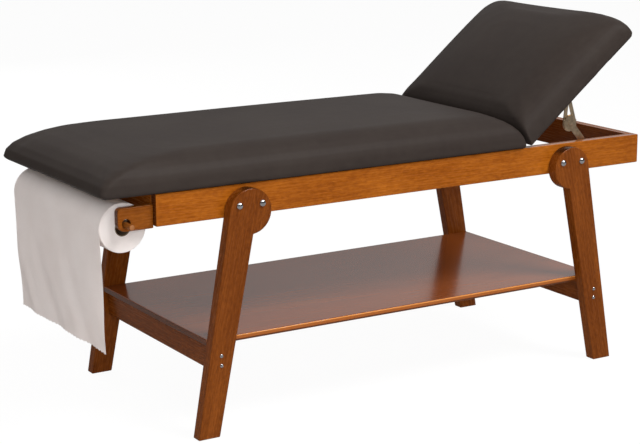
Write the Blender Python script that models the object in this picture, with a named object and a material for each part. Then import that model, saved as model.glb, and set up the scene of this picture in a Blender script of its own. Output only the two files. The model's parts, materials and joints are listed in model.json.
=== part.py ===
"""Wooden massage table with a lifting backrest, a shelf and a couch-roll holder.

Every piece is modelled at its real size, in metres, +Z up. The table stands on z = 0 with its length
along X and its head end at +X. Lengths along X are measured from the middle of the frame, and one empty
moves the whole table so that the middle of its outline lies over the origin.
"""
import math
from dataclasses import dataclass

import bmesh
import bpy
from mathutils import Matrix, Vector

# Clearances
SEAT_GAP = 0.0003
PIVOT_GAP = 0.0005
CUT_MARGIN = 0.010

# Edges that meet at more than these angles stay sharp
ROUND_EDGE = math.radians(40)
SOFT_EDGE = math.radians(55)

# Frame of side rails and end rails
RAIL_LENGTH = 1.700
RAIL_HEIGHT = 0.090
RAIL_THICKNESS = 0.030
FRAME_WIDTH = 0.682
RAIL_TOP = 0.707
WOOD_EASE = 0.003

# Legs with a round head, bolted to the outside of the side rails
LEG_THICKNESS = 0.037
LEG_HEAD_RADIUS = 0.065
LEG_HEAD_DROP = 0.008
FOOT_LEG_INSET = 0.272
HEAD_LEG_INSET = 0.296
LEG_SPREAD = 0.176
LEG_FOOT_WIDTH = 0.067
LEG_NECK_ANGLE = math.radians(-84)
LEG_HEAD_STEPS = 26

# Domed bolts through each leg head
BOLT_SPACING = 0.072
BOLT_RISE = 0.020
BOLT_HEAD_RADIUS = 0.010
BOLT_HEAD_HEIGHT = 0.007
BOLT_RADIUS = 0.004
BOLT_DEPTH_IN_RAIL = 0.022
FASTENER_SIDES = 16
FASTENER_DOME_STEPS = 4

# Stretchers between the legs of each end, with two screws in each end
STRETCHER_THICKNESS = 0.025
STRETCHER_HEIGHT = 0.074
SCREW_SPACING = 0.028
SCREW_HEAD_RADIUS = 0.0055
SCREW_HEAD_HEIGHT = 0.0025
SCREW_RADIUS = 0.0025
SCREW_DEPTH_IN_STRETCHER = 0.035

# Shelf that lies on the stretchers
SHELF_TOP = 0.277
SHELF_THICKNESS = 0.018

# Upholstered cushions on their base boards
CUSHION_WIDTH = 0.715
CUSHION_THICKNESS = 0.113
CUSHION_FOOT_OVERHANG = 0.168
CUSHION_TUCK = 0.006
CUSHION_TUCK_HEIGHT = 0.005
CUSHION_TUCK_LEFT = 0.33
CUSHION_BULGE_HEIGHT = 0.0125
CUSHION_SIDE_SHOULDER = 0.118
CUSHION_ROUNDNESS = 2.2
CUSHION_CROWN = 0.0105
CUSHION_FLAT_SHARE = 0.25
CUSHION_HINGE_CORNER_RADIUS = 0.012
CUSHION_CORNER_GROWTH = 0.8
CUSHION_HINGE_CORNER_GROWTH = 0.4
CUSHION_DRAW_IN = 0.004
CUSHION_CORNER_STEPS = 5
CUSHION_SIDE_STEPS = 8
CUSHION_END_STEPS = 6
CUSHION_SHOULDER_STEPS = 7
CUSHION_CROWN_STEPS = 3
CUSHION_END_MARGIN = 0.0010
MAIN_FOOT_SHOULDER = 0.280
MAIN_HINGE_SHOULDER = 0.106
MAIN_CORNER_RADIUS = 0.020
MAIN_END_SLOPE = math.radians(10)
MAIN_SWELL = 0.001
BOARD_THICKNESS = 0.018
BOARD_EDGE = 0.022

# Backrest and the hinge line it lifts about
HINGE_X = 0.405
HINGE_RISE = 0.002
BACKREST_LENGTH = 0.515
BACKREST_ANGLE = math.radians(38.5)
BACKREST_HEAD_SHOULDER = 0.040
BACKREST_HINGE_SHOULDER = 0.080
BACKREST_CORNER_RADIUS = 0.027
BACKREST_END_SLOPE = math.radians(28)
BACKREST_SWELL = 0.010

# Butt hinges on the facing edges of the two boards
HINGE_SPREAD = 0.400
LEAF_LENGTH = 0.070
LEAF_MARGIN = 0.002
LEAF_THICKNESS = 0.0017
LEAF_TOP_DROP = 0.0006
KNUCKLE_RADIUS = 0.0040
KNUCKLE_PIN_RADIUS = 0.0018
KNUCKLE_SIDES = 20

# Ratchet stays that prop the backrest, one inside each side rail
STAY_FOOT_X = 0.685
STAY_FOOT_DROP = 0.045
STAY_LOWER_LENGTH = 0.130
STAY_UPPER_LENGTH = 0.072
STAY_BACK_REACH = 0.212
STAY_BACK_DROP = 0.015
STAY_PLATE = 0.003
STAY_LOWER_WIDTH = 0.022
STAY_KNEE_RADIUS = 0.026
STAY_TIP_RADIUS = 0.0115
STAY_WINDOW_NARROW = 0.0028
STAY_WINDOW_WIDE = 0.0155
STAY_PIN_RADIUS = 0.0045
STAY_RIVET_RADIUS = 0.0080
STAY_RIVET_HEIGHT = 0.0022
STAY_FOOT_PLATE_LENGTH = 0.070
STAY_FOOT_PLATE_HEIGHT = 0.036
STAY_BACK_FLANGE_LENGTH = 0.060
STAY_BACK_FLANGE_WIDTH = 0.022
STAY_EAR_WIDTH = 0.030
RATCHET_TEETH = 14
RATCHET_TOOTH_DEPTH = 0.0025
RATCHET_TOOTH_SLOPE = 0.75
ROUND_STEPS = 14

# Couch-roll holder at the foot end
ARM_REACH = 0.106
ARM_HEIGHT = 0.066
ARM_DROP = 0.030
ARM_THICKNESS = 0.022
ARM_TOP_RADIUS = 0.014
ARM_BOTTOM_RADIUS = 0.022
ARM_CORNER_STEPS = 5
DOWEL_REACH = 0.081
DOWEL_BELOW_TOP = 0.078
DOWEL_RADIUS = 0.0085
DOWEL_PROUD = 0.035
DOWEL_EASE = 0.0015
DOWEL_BORE_RADIUS = 0.0130
DOWEL_SIDES = 24

# Couch roll, its core and the length of paper that hangs from it
PAPER_WIDTH = 0.600
ROLL_RADIUS = 0.069
ROLL_END_GAP = 0.003
CORE_RADIUS = 0.021
CORE_WALL = 0.002
ROLL_SIDES = 48
ROLL_EASE = 0.0015
SHEET_THICKNESS = 0.0010
SHEET_BOTTOM = 0.272
SHEET_START = math.radians(75)
SHEET_BEND_START = 0.45
SHEET_LEAN = 0.007
SHEET_WAVE = 0.0025
SHEET_WAVES = 2.5
SHEET_WAVE_SLANT = 0.33
SHEET_ROLL_STEPS = 8
SHEET_DROP_STEPS = 14
SHEET_WIDTH_STEPS = 12

# Places that follow from the sizes above
FRAME_HALF = FRAME_WIDTH / 2
RAIL_HALF = RAIL_LENGTH / 2
RAIL_INNER = FRAME_HALF - RAIL_THICKNESS
SIDES = {"near": -1, "far": 1}
SHELF_BOTTOM = SHELF_TOP - SHELF_THICKNESS
LEG_HEAD_Z = RAIL_TOP - LEG_HEAD_DROP - LEG_HEAD_RADIUS
BOARD_BOTTOM = RAIL_TOP + SEAT_GAP
BOARD_TOP = BOARD_BOTTOM + BOARD_THICKNESS
HINGE_Z = BOARD_TOP + HINGE_RISE
BOARD_END_GAP = KNUCKLE_RADIUS + PIVOT_GAP
CUSHION_END_GAP = BOARD_END_GAP + CUSHION_END_MARGIN
CUSHION_SHOULDER_Z = CUSHION_THICKNESS - CUSHION_CROWN
DOWEL_X = -RAIL_HALF - DOWEL_REACH
DOWEL_Z = RAIL_TOP - DOWEL_BELOW_TOP
ROLL_Z = DOWEL_Z - (CORE_RADIUS - DOWEL_RADIUS - SEAT_GAP)
ARM_INNER = PAPER_WIDTH / 2 + ROLL_END_GAP
ARM_OUTER = ARM_INNER + ARM_THICKNESS
STAY_BACK_DEPTH = BOARD_THICKNESS + HINGE_RISE + STAY_BACK_DROP
TABLE_MIDDLE_X = -CUSHION_FOOT_OVERHANG / 2

# Plates of a stay, counted inwards from the side rail
FOOT_PLATE_LAYER = 0
LOWER_ARM_LAYER = 1
UPPER_ARM_LAYER = 2
BACK_EAR_LAYER = 3

# Which way the legs of each end lean, and where their heads sit
LEG_ENDS = {"foot": (1, -RAIL_HALF + FOOT_LEG_INSET), "head": (-1, RAIL_HALF - HEAD_LEG_INSET)}


def clear_scene():
    """Remove every object so that the script builds the same table each run."""
    for leftover in list(bpy.data.objects):
        bpy.data.objects.remove(leftover, do_unlink=True)


def finish(name, color, roughness, metallic=0.0):
    """One Principled material with a plain colour."""
    material = bpy.data.materials.new(name)
    material.use_nodes = True
    shader = material.node_tree.nodes["Principled BSDF"]
    shader.inputs["Base Color"].default_value = (*color, 1.0)
    shader.inputs["Roughness"].default_value = roughness
    shader.inputs["Metallic"].default_value = metallic
    return material


def add_empty(name, parent=None, location=(0.0, 0.0, 0.0), turn_y=0.0):
    """An empty that carries pieces, turned about Y."""
    empty = bpy.data.objects.new(name, None)
    bpy.context.scene.collection.objects.link(empty)
    empty.parent = parent
    empty.location = location
    empty.rotation_euler = (0.0, turn_y, 0.0)
    return empty


def add_piece(name, shape, material, parent, location=(0.0, 0.0, 0.0), turn_y=0.0, smooth_angle=None):
    """Turn a bmesh into a named object under its parent."""
    bmesh.ops.recalc_face_normals(shape, faces=shape.faces)
    mesh = bpy.data.meshes.new(name)
    shape.to_mesh(mesh)
    shape.free()
    if smooth_angle is not None:
        mesh.shade_smooth()
        mesh.set_sharp_from_angle(angle=smooth_angle)
    piece = bpy.data.objects.new(name, mesh)
    bpy.context.scene.collection.objects.link(piece)
    if material is not None:
        mesh.materials.append(material)
    piece.parent = parent
    piece.location = location
    piece.rotation_euler = (0.0, turn_y, 0.0)
    return piece


def add_cutter(name, shape, parent, location=(0.0, 0.0, 0.0), turn_y=0.0):
    """A solid that only cuts or joins others and is left out of the table."""
    cutter = add_piece(name, shape, None, parent, location, turn_y)
    cutter.hide_render = True
    cutter.display_type = "WIRE"
    return cutter


def combine(piece, tool, operation):
    """Cut a tool from a piece, or join the tool to it."""
    boolean = piece.modifiers.new(operation.lower(), "BOOLEAN")
    boolean.operation = operation
    boolean.solver = "EXACT"
    boolean.object = tool


def ease_edges(piece, width, segments=2):
    """Round the sharp edges of a piece of timber."""
    bevel = piece.modifiers.new("ease", "BEVEL")
    bevel.width = width
    bevel.segments = segments
    bevel.limit_method = "ANGLE"
    bevel.angle_limit = ROUND_EDGE


def box(low, high, shape=None):
    """A box between two corners, added to a shape."""
    shape = shape or bmesh.new()
    cube = bmesh.ops.create_cube(shape, size=1.0)["verts"]
    low = Vector(low)
    size = Vector(high) - low
    for vertex in cube:
        vertex.co = low + Vector((part * (share + 0.5) for part, share in zip(size, vertex.co)))
    return shape


def prism(outline, low, high, shape=None):
    """A plate with an outline in X and Z, between two places along Y."""
    shape = shape or bmesh.new()
    rims = [[shape.verts.new((x, y, z)) for x, z in outline] for y in (low, high)]
    for rim in rims:
        shape.faces.new(rim)
    bridge(shape, rims)
    return shape


def bridge(shape, rings):
    """Join closed rings of equal count with quads."""
    for ring, following in zip(rings, rings[1:]):
        count = len(ring)
        for i in range(count):
            j = (i + 1) % count
            shape.faces.new((ring[i], ring[j], following[j], following[i]))


def turned(profile, sides, centre=(0.0, 0.0), shape=None):
    """A solid of revolution about an axis along Y, from (radius, y) points that start and end on it."""
    shape = shape or bmesh.new()
    rings = [ring_at(shape, radius, y, sides, centre) for radius, y in profile[1:-1]]
    bridge(shape, rings)
    tips = [shape.verts.new((centre[0], y, centre[1])) for y in (profile[0][1], profile[-1][1])]
    for tip, ring in zip(tips, (rings[0], rings[-1])):
        for i in range(sides):
            shape.faces.new((tip, ring[i], ring[(i + 1) % sides]))
    return shape


def turned_tube(profile, sides):
    """A ring of revolution about the Y axis, from a closed loop of (radius, y) points."""
    shape = bmesh.new()
    rings = [ring_at(shape, radius, y, sides) for radius, y in profile]
    bridge(shape, rings + rings[:1])
    return shape


def ring_at(shape, radius, y, sides, centre=(0.0, 0.0)):
    """A circle of vertices about an axis along Y."""
    turns = [math.tau * i / sides for i in range(sides)]
    return [
        shape.verts.new((centre[0] + radius * math.cos(turn), y, centre[1] + radius * math.sin(turn)))
        for turn in turns
    ]


def rod(radius, low, high, sides, centre=(0.0, 0.0), shape=None):
    """A plain round rod along Y."""
    return turned([(0.0, low), (radius, low), (radius, high), (0.0, high)], sides, centre, shape)


def arc(centre, radius, start, end, steps):
    """Points along an arc, both ends included."""
    turns = [start + (end - start) * i / steps for i in range(steps + 1)]
    return [(centre[0] + radius * math.cos(turn), centre[1] + radius * math.sin(turn)) for turn in turns]


def leg_tangent():
    """Slope angle of a leg's outer edge, from the foot's outer corner tangent to the round head."""
    distance = math.hypot(LEG_SPREAD, LEG_HEAD_Z)
    return math.atan2(LEG_HEAD_Z, LEG_SPREAD) + math.asin(LEG_HEAD_RADIUS / distance)


def leg_outer(z):
    """Inward distance from the head's centre to the leg's outer edge at a height."""
    return -LEG_SPREAD + z / math.tan(leg_tangent())


def leg_inner(z):
    """Inward distance from the head's centre to the leg's inner edge at a height."""
    foot = -LEG_SPREAD + LEG_FOOT_WIDTH
    neck_in = LEG_HEAD_RADIUS * math.cos(LEG_NECK_ANGLE)
    neck_z = LEG_HEAD_Z + LEG_HEAD_RADIUS * math.sin(LEG_NECK_ANGLE)
    return foot + (neck_in - foot) * z / neck_z


def leg_middle(z):
    """Inward distance from the head's centre to the middle of the leg's width at a height."""
    return (leg_outer(z) + leg_inner(z)) / 2


def leg_outline():
    """Leg seen from the side, measured inwards from its head's centre: a tapered post, a round head."""
    foot = [(-LEG_SPREAD, 0.0), (-LEG_SPREAD + LEG_FOOT_WIDTH, 0.0)]
    tangent_turn = leg_tangent() + math.pi / 2
    head = arc((0.0, LEG_HEAD_Z), LEG_HEAD_RADIUS, LEG_NECK_ANGLE, tangent_turn, LEG_HEAD_STEPS)
    return foot + head


def domed_fastener(head_radius, head_height, shank_radius, length, side, centre):
    """A dome-headed bolt or screw whose head seats on the outer face of a leg."""
    face = FRAME_HALF + LEG_THICKNESS + SEAT_GAP
    dome = []
    for i in range(FASTENER_DOME_STEPS):
        turn = math.pi / 2 * i / FASTENER_DOME_STEPS
        dome.append((head_radius * math.sin(turn), face + head_height * math.cos(turn)))
    shank = [(head_radius, face), (shank_radius, face), (shank_radius, face - length), (0.0, face - length)]
    profile = [(radius, side * out) for radius, out in dome + shank]
    return turned(profile, FASTENER_SIDES, centre)


def fastener_bores(side, head_x, inward):
    """Holes for the bolts and screws of one leg, through the leg and into the rail and stretcher."""
    shape = bmesh.new()
    outside = side * (FRAME_HALF + LEG_THICKNESS + CUT_MARGIN)
    for centre in bolt_places(head_x):
        depth = side * (FRAME_HALF - BOLT_DEPTH_IN_RAIL - SEAT_GAP)
        rod(BOLT_RADIUS + SEAT_GAP, depth, outside, FASTENER_SIDES, centre, shape)
    for centre in screw_places(head_x, inward):
        depth = side * (FRAME_HALF - SCREW_DEPTH_IN_STRETCHER - SEAT_GAP)
        rod(SCREW_RADIUS + SEAT_GAP, depth, outside, FASTENER_SIDES, centre, shape)
    return shape


def bolt_places(head_x):
    """Centres of the two bolts in a leg head."""
    z = LEG_HEAD_Z + BOLT_RISE
    return [(head_x + half * BOLT_SPACING, z) for half in (-0.5, 0.5)]


def screw_places(head_x, inward):
    """Centres of the two screws that hold a stretcher, down the middle of the leg."""
    middle = SHELF_BOTTOM - SEAT_GAP - STRETCHER_HEIGHT / 2
    x = head_x + inward * leg_middle(middle)
    return [(x, middle + half * SCREW_SPACING) for half in (0.5, -0.5)]


def build_frame(table, woods):
    """Two side rails and two end rails between them."""
    rails = {}
    rail_bottom = RAIL_TOP - RAIL_HEIGHT
    for side_name, side in SIDES.items():
        low, high = sorted((side * RAIL_INNER, side * FRAME_HALF))
        shape = box((-RAIL_HALF, low, rail_bottom), (RAIL_HALF, high, RAIL_TOP))
        rails[side_name] = add_piece(f"side_rail_{side_name}", shape, woods["rail"], table)
        ease_edges(rails[side_name], WOOD_EASE)
    for end_name, end in (("foot", -1), ("head", 1)):
        low, high = sorted((end * RAIL_HALF, end * (RAIL_HALF - RAIL_THICKNESS)))
        reach = RAIL_INNER - SEAT_GAP
        shape = box((low, -reach, rail_bottom), (high, reach, RAIL_TOP))
        ease_edges(add_piece(f"end_rail_{end_name}", shape, woods["rail"], table), WOOD_EASE)
    return rails


def build_legs(table, rails, woods, chrome):
    """Four legs, their bolts and screws, and the stretcher that joins the two legs of each end."""
    for end_name, (inward, head_x) in LEG_ENDS.items():
        middle = SHELF_BOTTOM - SEAT_GAP - STRETCHER_HEIGHT / 2
        stretcher_x = head_x + inward * leg_middle(middle)
        reach = FRAME_HALF - SEAT_GAP
        half = Vector((STRETCHER_THICKNESS / 2, reach, STRETCHER_HEIGHT / 2))
        centre = Vector((stretcher_x, 0.0, middle))
        bar = box(centre - half, centre + half)
        stretcher = add_piece(f"stretcher_{end_name}", bar, woods["leg"], table)
        ease_edges(stretcher, WOOD_EASE)
        for side_name, side in SIDES.items():
            place = f"{end_name}_{side_name}"
            inner = side * (FRAME_HALF + SEAT_GAP)
            outer = side * (FRAME_HALF + LEG_THICKNESS)
            outline = [(head_x + inward * u, z) for u, z in leg_outline()]
            leg = add_piece(f"leg_{place}", prism(outline, inner, outer), woods["leg"], table)
            ease_edges(leg, WOOD_EASE)
            bores = add_cutter(f"bores_{place}", fastener_bores(side, head_x, inward), table)
            for drilled in (leg, rails[side_name], stretcher):
                combine(drilled, bores, "DIFFERENCE")
            add_fasteners(table, place, side, head_x, inward, chrome)


def add_fasteners(table, place, side, head_x, inward, chrome):
    """The two bolts and two screws of one leg."""
    bolt_length = LEG_THICKNESS + BOLT_DEPTH_IN_RAIL
    screw_length = LEG_THICKNESS + SCREW_DEPTH_IN_STRETCHER
    bolt = (BOLT_HEAD_RADIUS, BOLT_HEAD_HEIGHT, BOLT_RADIUS, bolt_length)
    screw = (SCREW_HEAD_RADIUS, SCREW_HEAD_HEIGHT, SCREW_RADIUS, screw_length)
    for order, centre in zip(("left", "right"), bolt_places(head_x)):
        shape = domed_fastener(*bolt, side, centre)
        add_piece(f"leg_bolt_{place}_{order}", shape, chrome, table, smooth_angle=ROUND_EDGE)
    for order, centre in zip(("upper", "lower"), screw_places(head_x, inward)):
        shape = domed_fastener(*screw, side, centre)
        add_piece(f"stretcher_screw_{place}_{order}", shape, chrome, table, smooth_angle=ROUND_EDGE)


def build_shelf(table, wood):
    """A board on the stretchers, as long as the legs' outer edges are apart at its height."""
    ends = [head_x + inward * leg_outer(SHELF_TOP) for inward, head_x in LEG_ENDS.values()]
    reach = FRAME_HALF - SEAT_GAP
    shape = box((min(ends), -reach, SHELF_BOTTOM), (max(ends), reach, SHELF_TOP))
    ease_edges(add_piece("shelf", shape, wood, table), WOOD_EASE)


def pad_levels():
    """Rings of a cushion from its underside up: share of the shoulder, share of the crown, and height."""
    tuck = CUSHION_TUCK / CUSHION_SIDE_SHOULDER
    levels = [(tuck, 0.0, 0.0), (tuck * CUSHION_TUCK_LEFT, 0.0, CUSHION_TUCK_HEIGHT)]
    power = 2 / CUSHION_ROUNDNESS
    for i in range(CUSHION_SHOULDER_STEPS + 1):
        turn = math.pi / 2 * i / CUSHION_SHOULDER_STEPS
        rise = (CUSHION_SHOULDER_Z - CUSHION_BULGE_HEIGHT) * math.sin(turn) ** power
        levels.append((1 - max(math.cos(turn), 0.0) ** power, 0.0, CUSHION_BULGE_HEIGHT + rise))
    for i in range(1, CUSHION_CROWN_STEPS + 1):
        share = i / CUSHION_CROWN_STEPS
        levels.append((1.0, share, CUSHION_SHOULDER_Z + CUSHION_CROWN * (1 - (1 - share) ** 2)))
    return levels


@dataclass(frozen=True)
class Pad:
    """A cushion from the hinge line along X to its free end, with its underside at z = 0."""

    length: float
    free_shoulder: float
    hinge_shoulder: float
    corner_radius: float
    end_slope: float
    swell: float
    direction: int

    def limits(self, shoulder, crown, z):
        """Ends along X and half width of the ring at one level."""
        above_hinge = max(0.0, z - BOARD_THICKNESS - HINGE_RISE)
        hinge_shoulder = self.hinge_shoulder if above_hinge else 0.0
        room = 1 - CUSHION_FLAT_SHARE
        run = (self.length - CUSHION_END_GAP - self.free_shoulder - self.hinge_shoulder) / 2 * room
        slope = math.tan(self.end_slope) * above_hinge
        near = CUSHION_END_GAP + hinge_shoulder * shoulder + run * crown + slope
        far = self.length - self.free_shoulder * shoulder - run * crown
        side_run = (CUSHION_WIDTH / 2 - CUSHION_SIDE_SHOULDER) * room
        half = CUSHION_WIDTH / 2 - CUSHION_SIDE_SHOULDER * shoulder - side_run * crown
        return near, far, half

    def ring(self, shoulder, crown, z):
        """Plan outline at one level: round corners that grow upwards, and sides drawn in between them."""
        near, far, half = self.limits(shoulder, crown, z)
        grown = CUSHION_SIDE_SHOULDER * shoulder
        free = self.corner_radius + CUSHION_CORNER_GROWTH * grown
        hinge = CUSHION_HINGE_CORNER_RADIUS + CUSHION_HINGE_CORNER_GROWTH * grown
        largest = min(half, (far - near) / 2) * (1 - CUSHION_FLAT_SHARE)
        free = min(free, largest)
        hinge = min(hinge, largest)
        corners = [
            (far - free, half - free, free, 0.0),
            (near + hinge, half - hinge, hinge, 0.5),
            (near + hinge, hinge - half, hinge, 1.0),
            (far - free, free - half, free, 1.5),
        ]
        steps = [CUSHION_SIDE_STEPS, CUSHION_END_STEPS, CUSHION_SIDE_STEPS, CUSHION_END_STEPS]
        inward = [(0, -1), (0, 0), (0, 1), (-1, 0)]
        points = []
        for k, (x, y, radius, quarter) in enumerate(corners):
            start = math.pi * quarter
            points += arc((x, y), radius, start, start + math.pi / 2, CUSHION_CORNER_STEPS)
            next_x, next_y, next_radius, next_quarter = corners[(k + 1) % len(corners)]
            turn = math.pi * next_quarter
            goal = Vector((next_x + next_radius * math.cos(turn), next_y + next_radius * math.sin(turn)))
            last = Vector(points[-1])
            for i in range(1, steps[k]):
                share = i / steps[k]
                pull = Vector(inward[k]) * CUSHION_DRAW_IN * (1 - shoulder) * math.sin(math.pi * share)
                points.append(tuple(last.lerp(goal, share) + pull))
        return points

    def solid(self):
        """The closed, crowned cushion."""
        shape = bmesh.new()
        rings = []
        near, far, _ = self.limits(1.0, 0.0, CUSHION_SHOULDER_Z)
        for shoulder, crown, z in pad_levels():
            ring = []
            for x, y in self.ring(shoulder, crown, z):
                along = min(max((x - near) / (far - near), 0.0), 1.0)
                swell = self.swell * shoulder * math.sin(math.pi * along)
                ring.append(shape.verts.new((self.direction * x, y, z + swell)))
            rings.append(ring)
        bridge(shape, rings)
        shape.faces.new(rings[0])
        shape.faces.new(rings[-1])
        return shape


def add_pad(names, form, parent, location, leather, wood):
    """A cushion and the base board let into its underside, both placed from the hinge line."""
    name, board_name = names
    cushion = add_piece(name, form.solid(), leather, parent, location, smooth_angle=SOFT_EDGE)
    half = CUSHION_WIDTH / 2 - BOARD_EDGE
    board_length = form.length - BOARD_EDGE
    ends = sorted((form.direction * BOARD_END_GAP, form.direction * board_length))
    board = box((ends[0], -half, 0.0), (ends[1], half, BOARD_THICKNESS))
    add_piece(board_name, board, wood, parent, location)
    ends = sorted((-form.direction * CUT_MARGIN, form.direction * (board_length + SEAT_GAP)))
    reach = half + SEAT_GAP
    recess = box((ends[0], -reach, -CUT_MARGIN), (ends[1], reach, BOARD_THICKNESS + SEAT_GAP))
    combine(cushion, add_cutter(f"{name}_recess", recess, parent, location), "DIFFERENCE")


def build_cushions(table, backrest, leather, wood):
    """The main cushion on the frame and the backrest cushion on its own turning carrier."""
    main = Pad(
        length=HINGE_X + RAIL_HALF + CUSHION_FOOT_OVERHANG,
        free_shoulder=MAIN_FOOT_SHOULDER,
        hinge_shoulder=MAIN_HINGE_SHOULDER,
        corner_radius=MAIN_CORNER_RADIUS,
        end_slope=MAIN_END_SLOPE,
        swell=MAIN_SWELL,
        direction=-1,
    )
    lifting = Pad(
        length=BACKREST_LENGTH,
        free_shoulder=BACKREST_HEAD_SHOULDER,
        hinge_shoulder=BACKREST_HINGE_SHOULDER,
        corner_radius=BACKREST_CORNER_RADIUS,
        end_slope=BACKREST_END_SLOPE,
        swell=BACKREST_SWELL,
        direction=1,
    )
    main_place = (HINGE_X, 0.0, BOARD_BOTTOM)
    back_place = (0.0, 0.0, BOARD_BOTTOM - HINGE_Z)
    add_pad(("main_cushion", "main_board"), main, table, main_place, leather, wood)
    add_pad(("backrest_cushion", "backrest_board"), lifting, backrest, back_place, leather, wood)


def hinge_leaf(direction):
    """Plate of one hinge leaf against the end of its board, with the hinge axis at the origin."""
    seat = BOARD_END_GAP - SEAT_GAP
    low_x, high_x = sorted((direction * (seat - LEAF_THICKNESS), direction * seat))
    bottom = LEAF_MARGIN - HINGE_RISE - BOARD_THICKNESS
    half = LEAF_LENGTH / 2
    return box((low_x, -half, bottom), (high_x, half, -LEAF_TOP_DROP))


def knuckles(spans, radius):
    """Barrels about the hinge axis over the given stretches of Y."""
    shape = bmesh.new()
    for low, high in spans:
        rod(radius, low, high, KNUCKLE_SIDES, shape=shape)
    return shape


def build_hinges(table, backrest, steel):
    """Two butt hinges: a leaf with two knuckles on the main board, one with a knuckle on the backrest."""
    half = LEAF_LENGTH / 2
    third = LEAF_LENGTH / 6
    outer_spans = [(-half, -third - SEAT_GAP), (third + SEAT_GAP, half)]
    inner_spans = [(-third, third)]
    leaves = {
        "fixed": (-1, outer_spans, inner_spans, table, Vector((HINGE_X, 0.0, HINGE_Z))),
        "moving": (1, inner_spans, outer_spans, backrest, Vector((0.0, 0.0, 0.0))),
    }
    for side_name, side in SIDES.items():
        y = Vector((0.0, side * HINGE_SPREAD / 2, 0.0))
        for kind, (direction, own, other, parent, origin) in leaves.items():
            name = f"hinge_{kind}_leaf_{side_name}"
            place = origin + y
            leaf = add_piece(name, hinge_leaf(direction), steel, parent, place)
            barrel = knuckles(own, KNUCKLE_RADIUS)
            combine(leaf, add_cutter(f"{name}_barrel", barrel, parent, place), "UNION")
            room = [(low - SEAT_GAP / 2, high + SEAT_GAP / 2) for low, high in other]
            clear = knuckles(room, KNUCKLE_RADIUS + PIVOT_GAP)
            combine(leaf, add_cutter(f"{name}_room", clear, parent, place), "DIFFERENCE")
            bore = rod(KNUCKLE_PIN_RADIUS + SEAT_GAP, -half - CUT_MARGIN, half + CUT_MARGIN, KNUCKLE_SIDES)
            combine(leaf, add_cutter(f"{name}_bore", bore, parent, place), "DIFFERENCE")
        pin = rod(KNUCKLE_PIN_RADIUS, -half, half, KNUCKLE_SIDES)
        add_piece(f"hinge_pin_{side_name}", pin, steel, table, Vector((HINGE_X, 0.0, HINGE_Z)) + y)


def stay_pivots():
    """Foot, knee and back pivots of a stay in X and Z, with the backrest at its lifted angle."""
    foot = Vector((STAY_FOOT_X, RAIL_TOP - STAY_FOOT_DROP))
    lift = Matrix.Rotation(BACKREST_ANGLE, 2)
    back = Vector((HINGE_X, HINGE_Z)) + lift @ Vector((STAY_BACK_REACH, -STAY_BACK_DEPTH))
    span = (back - foot).length
    along = (STAY_LOWER_LENGTH ** 2 - STAY_UPPER_LENGTH ** 2 + span ** 2) / (2 * span)
    aside = math.sqrt(STAY_LOWER_LENGTH ** 2 - along ** 2)
    forward = (back - foot).normalized()
    across = Vector((-forward.y, forward.x))
    return foot, foot + forward * along + across * aside, back


def tapered_bar(length, start_radius, end_radius):
    """Outline of a bar with round ends of unlike radius, from the origin along X."""
    lean = math.acos((start_radius - end_radius) / length)
    start = arc((0.0, 0.0), start_radius, lean, math.tau - lean, 2 * ROUND_STEPS)
    return start + arc((length, 0.0), end_radius, -lean, lean, ROUND_STEPS)


def ratchet_outline():
    """Lower arm: a straight bar from a round foot at the origin to a toothed disc about the knee."""
    half = STAY_LOWER_WIDTH / 2
    spread = math.asin(half / STAY_KNEE_RADIUS)
    step = (math.tau - 2 * spread) / RATCHET_TEETH
    root = STAY_KNEE_RADIUS - RATCHET_TOOTH_DEPTH
    points = arc((0.0, 0.0), half, math.pi / 2, 1.5 * math.pi, ROUND_STEPS)
    for i in range(RATCHET_TEETH):
        turn = spread - math.pi + step * i
        points.append(knee_point(STAY_KNEE_RADIUS, turn))
        points.append(knee_point(root, turn + RATCHET_TOOTH_SLOPE * step))
    points.append(knee_point(STAY_KNEE_RADIUS, math.pi - spread))
    return points


def knee_point(radius, turn):
    """A point about the knee of a lower arm that runs along X."""
    return STAY_LOWER_LENGTH + radius * math.cos(turn), radius * math.sin(turn)


def window_outline():
    """Tapered window that leaves two bars spreading from the tip of an upper arm to its knee."""
    start = STAY_TIP_RADIUS + STAY_PLATE
    end = STAY_UPPER_LENGTH - STAY_KNEE_RADIUS
    narrow = STAY_WINDOW_NARROW / 2
    wide = STAY_WINDOW_WIDE / 2
    return [(start, -narrow), (end, -wide), (end, wide), (start, narrow)]


def layer_face(order):
    """Distance from the table's middle to the outer face of a plate in the stack inside a side rail."""
    return RAIL_INNER - SEAT_GAP - order * (STAY_PLATE + SEAT_GAP)


def layer(side, order):
    """Lower and upper Y of a plate in the stack inside a side rail."""
    outer = layer_face(order)
    return sorted((side * outer, side * (outer - STAY_PLATE)))


def turn_to(start, end):
    """Turn about Y that lays local +X along the way from one point to another in X and Z."""
    way = end - start
    return -math.atan2(way.y, way.x)


def build_stays(table, backrest, steel):
    """A stay inside each rail: foot plate, two arms that meet at a riveted knee, and back bracket."""
    foot, knee, back = stay_pivots()
    for side_name, side in SIDES.items():
        build_foot_plate(table, side_name, side, foot, steel)
        build_lower_arm(table, side_name, side, foot, knee, steel)
        build_upper_arm(backrest, side_name, side, knee, back, steel)
        build_back_bracket(backrest, side_name, side, steel)


def stepped_pin(side, steps):
    """Round pin of several radii along Y, from (radius, start out, end out) stretches that touch."""
    profile = [(0.0, side * steps[0][1])]
    for radius, start, end in steps:
        profile += [(radius, side * start), (radius, side * end)]
    profile.append((0.0, side * steps[-1][2]))
    return turned(profile, KNUCKLE_SIDES)


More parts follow.
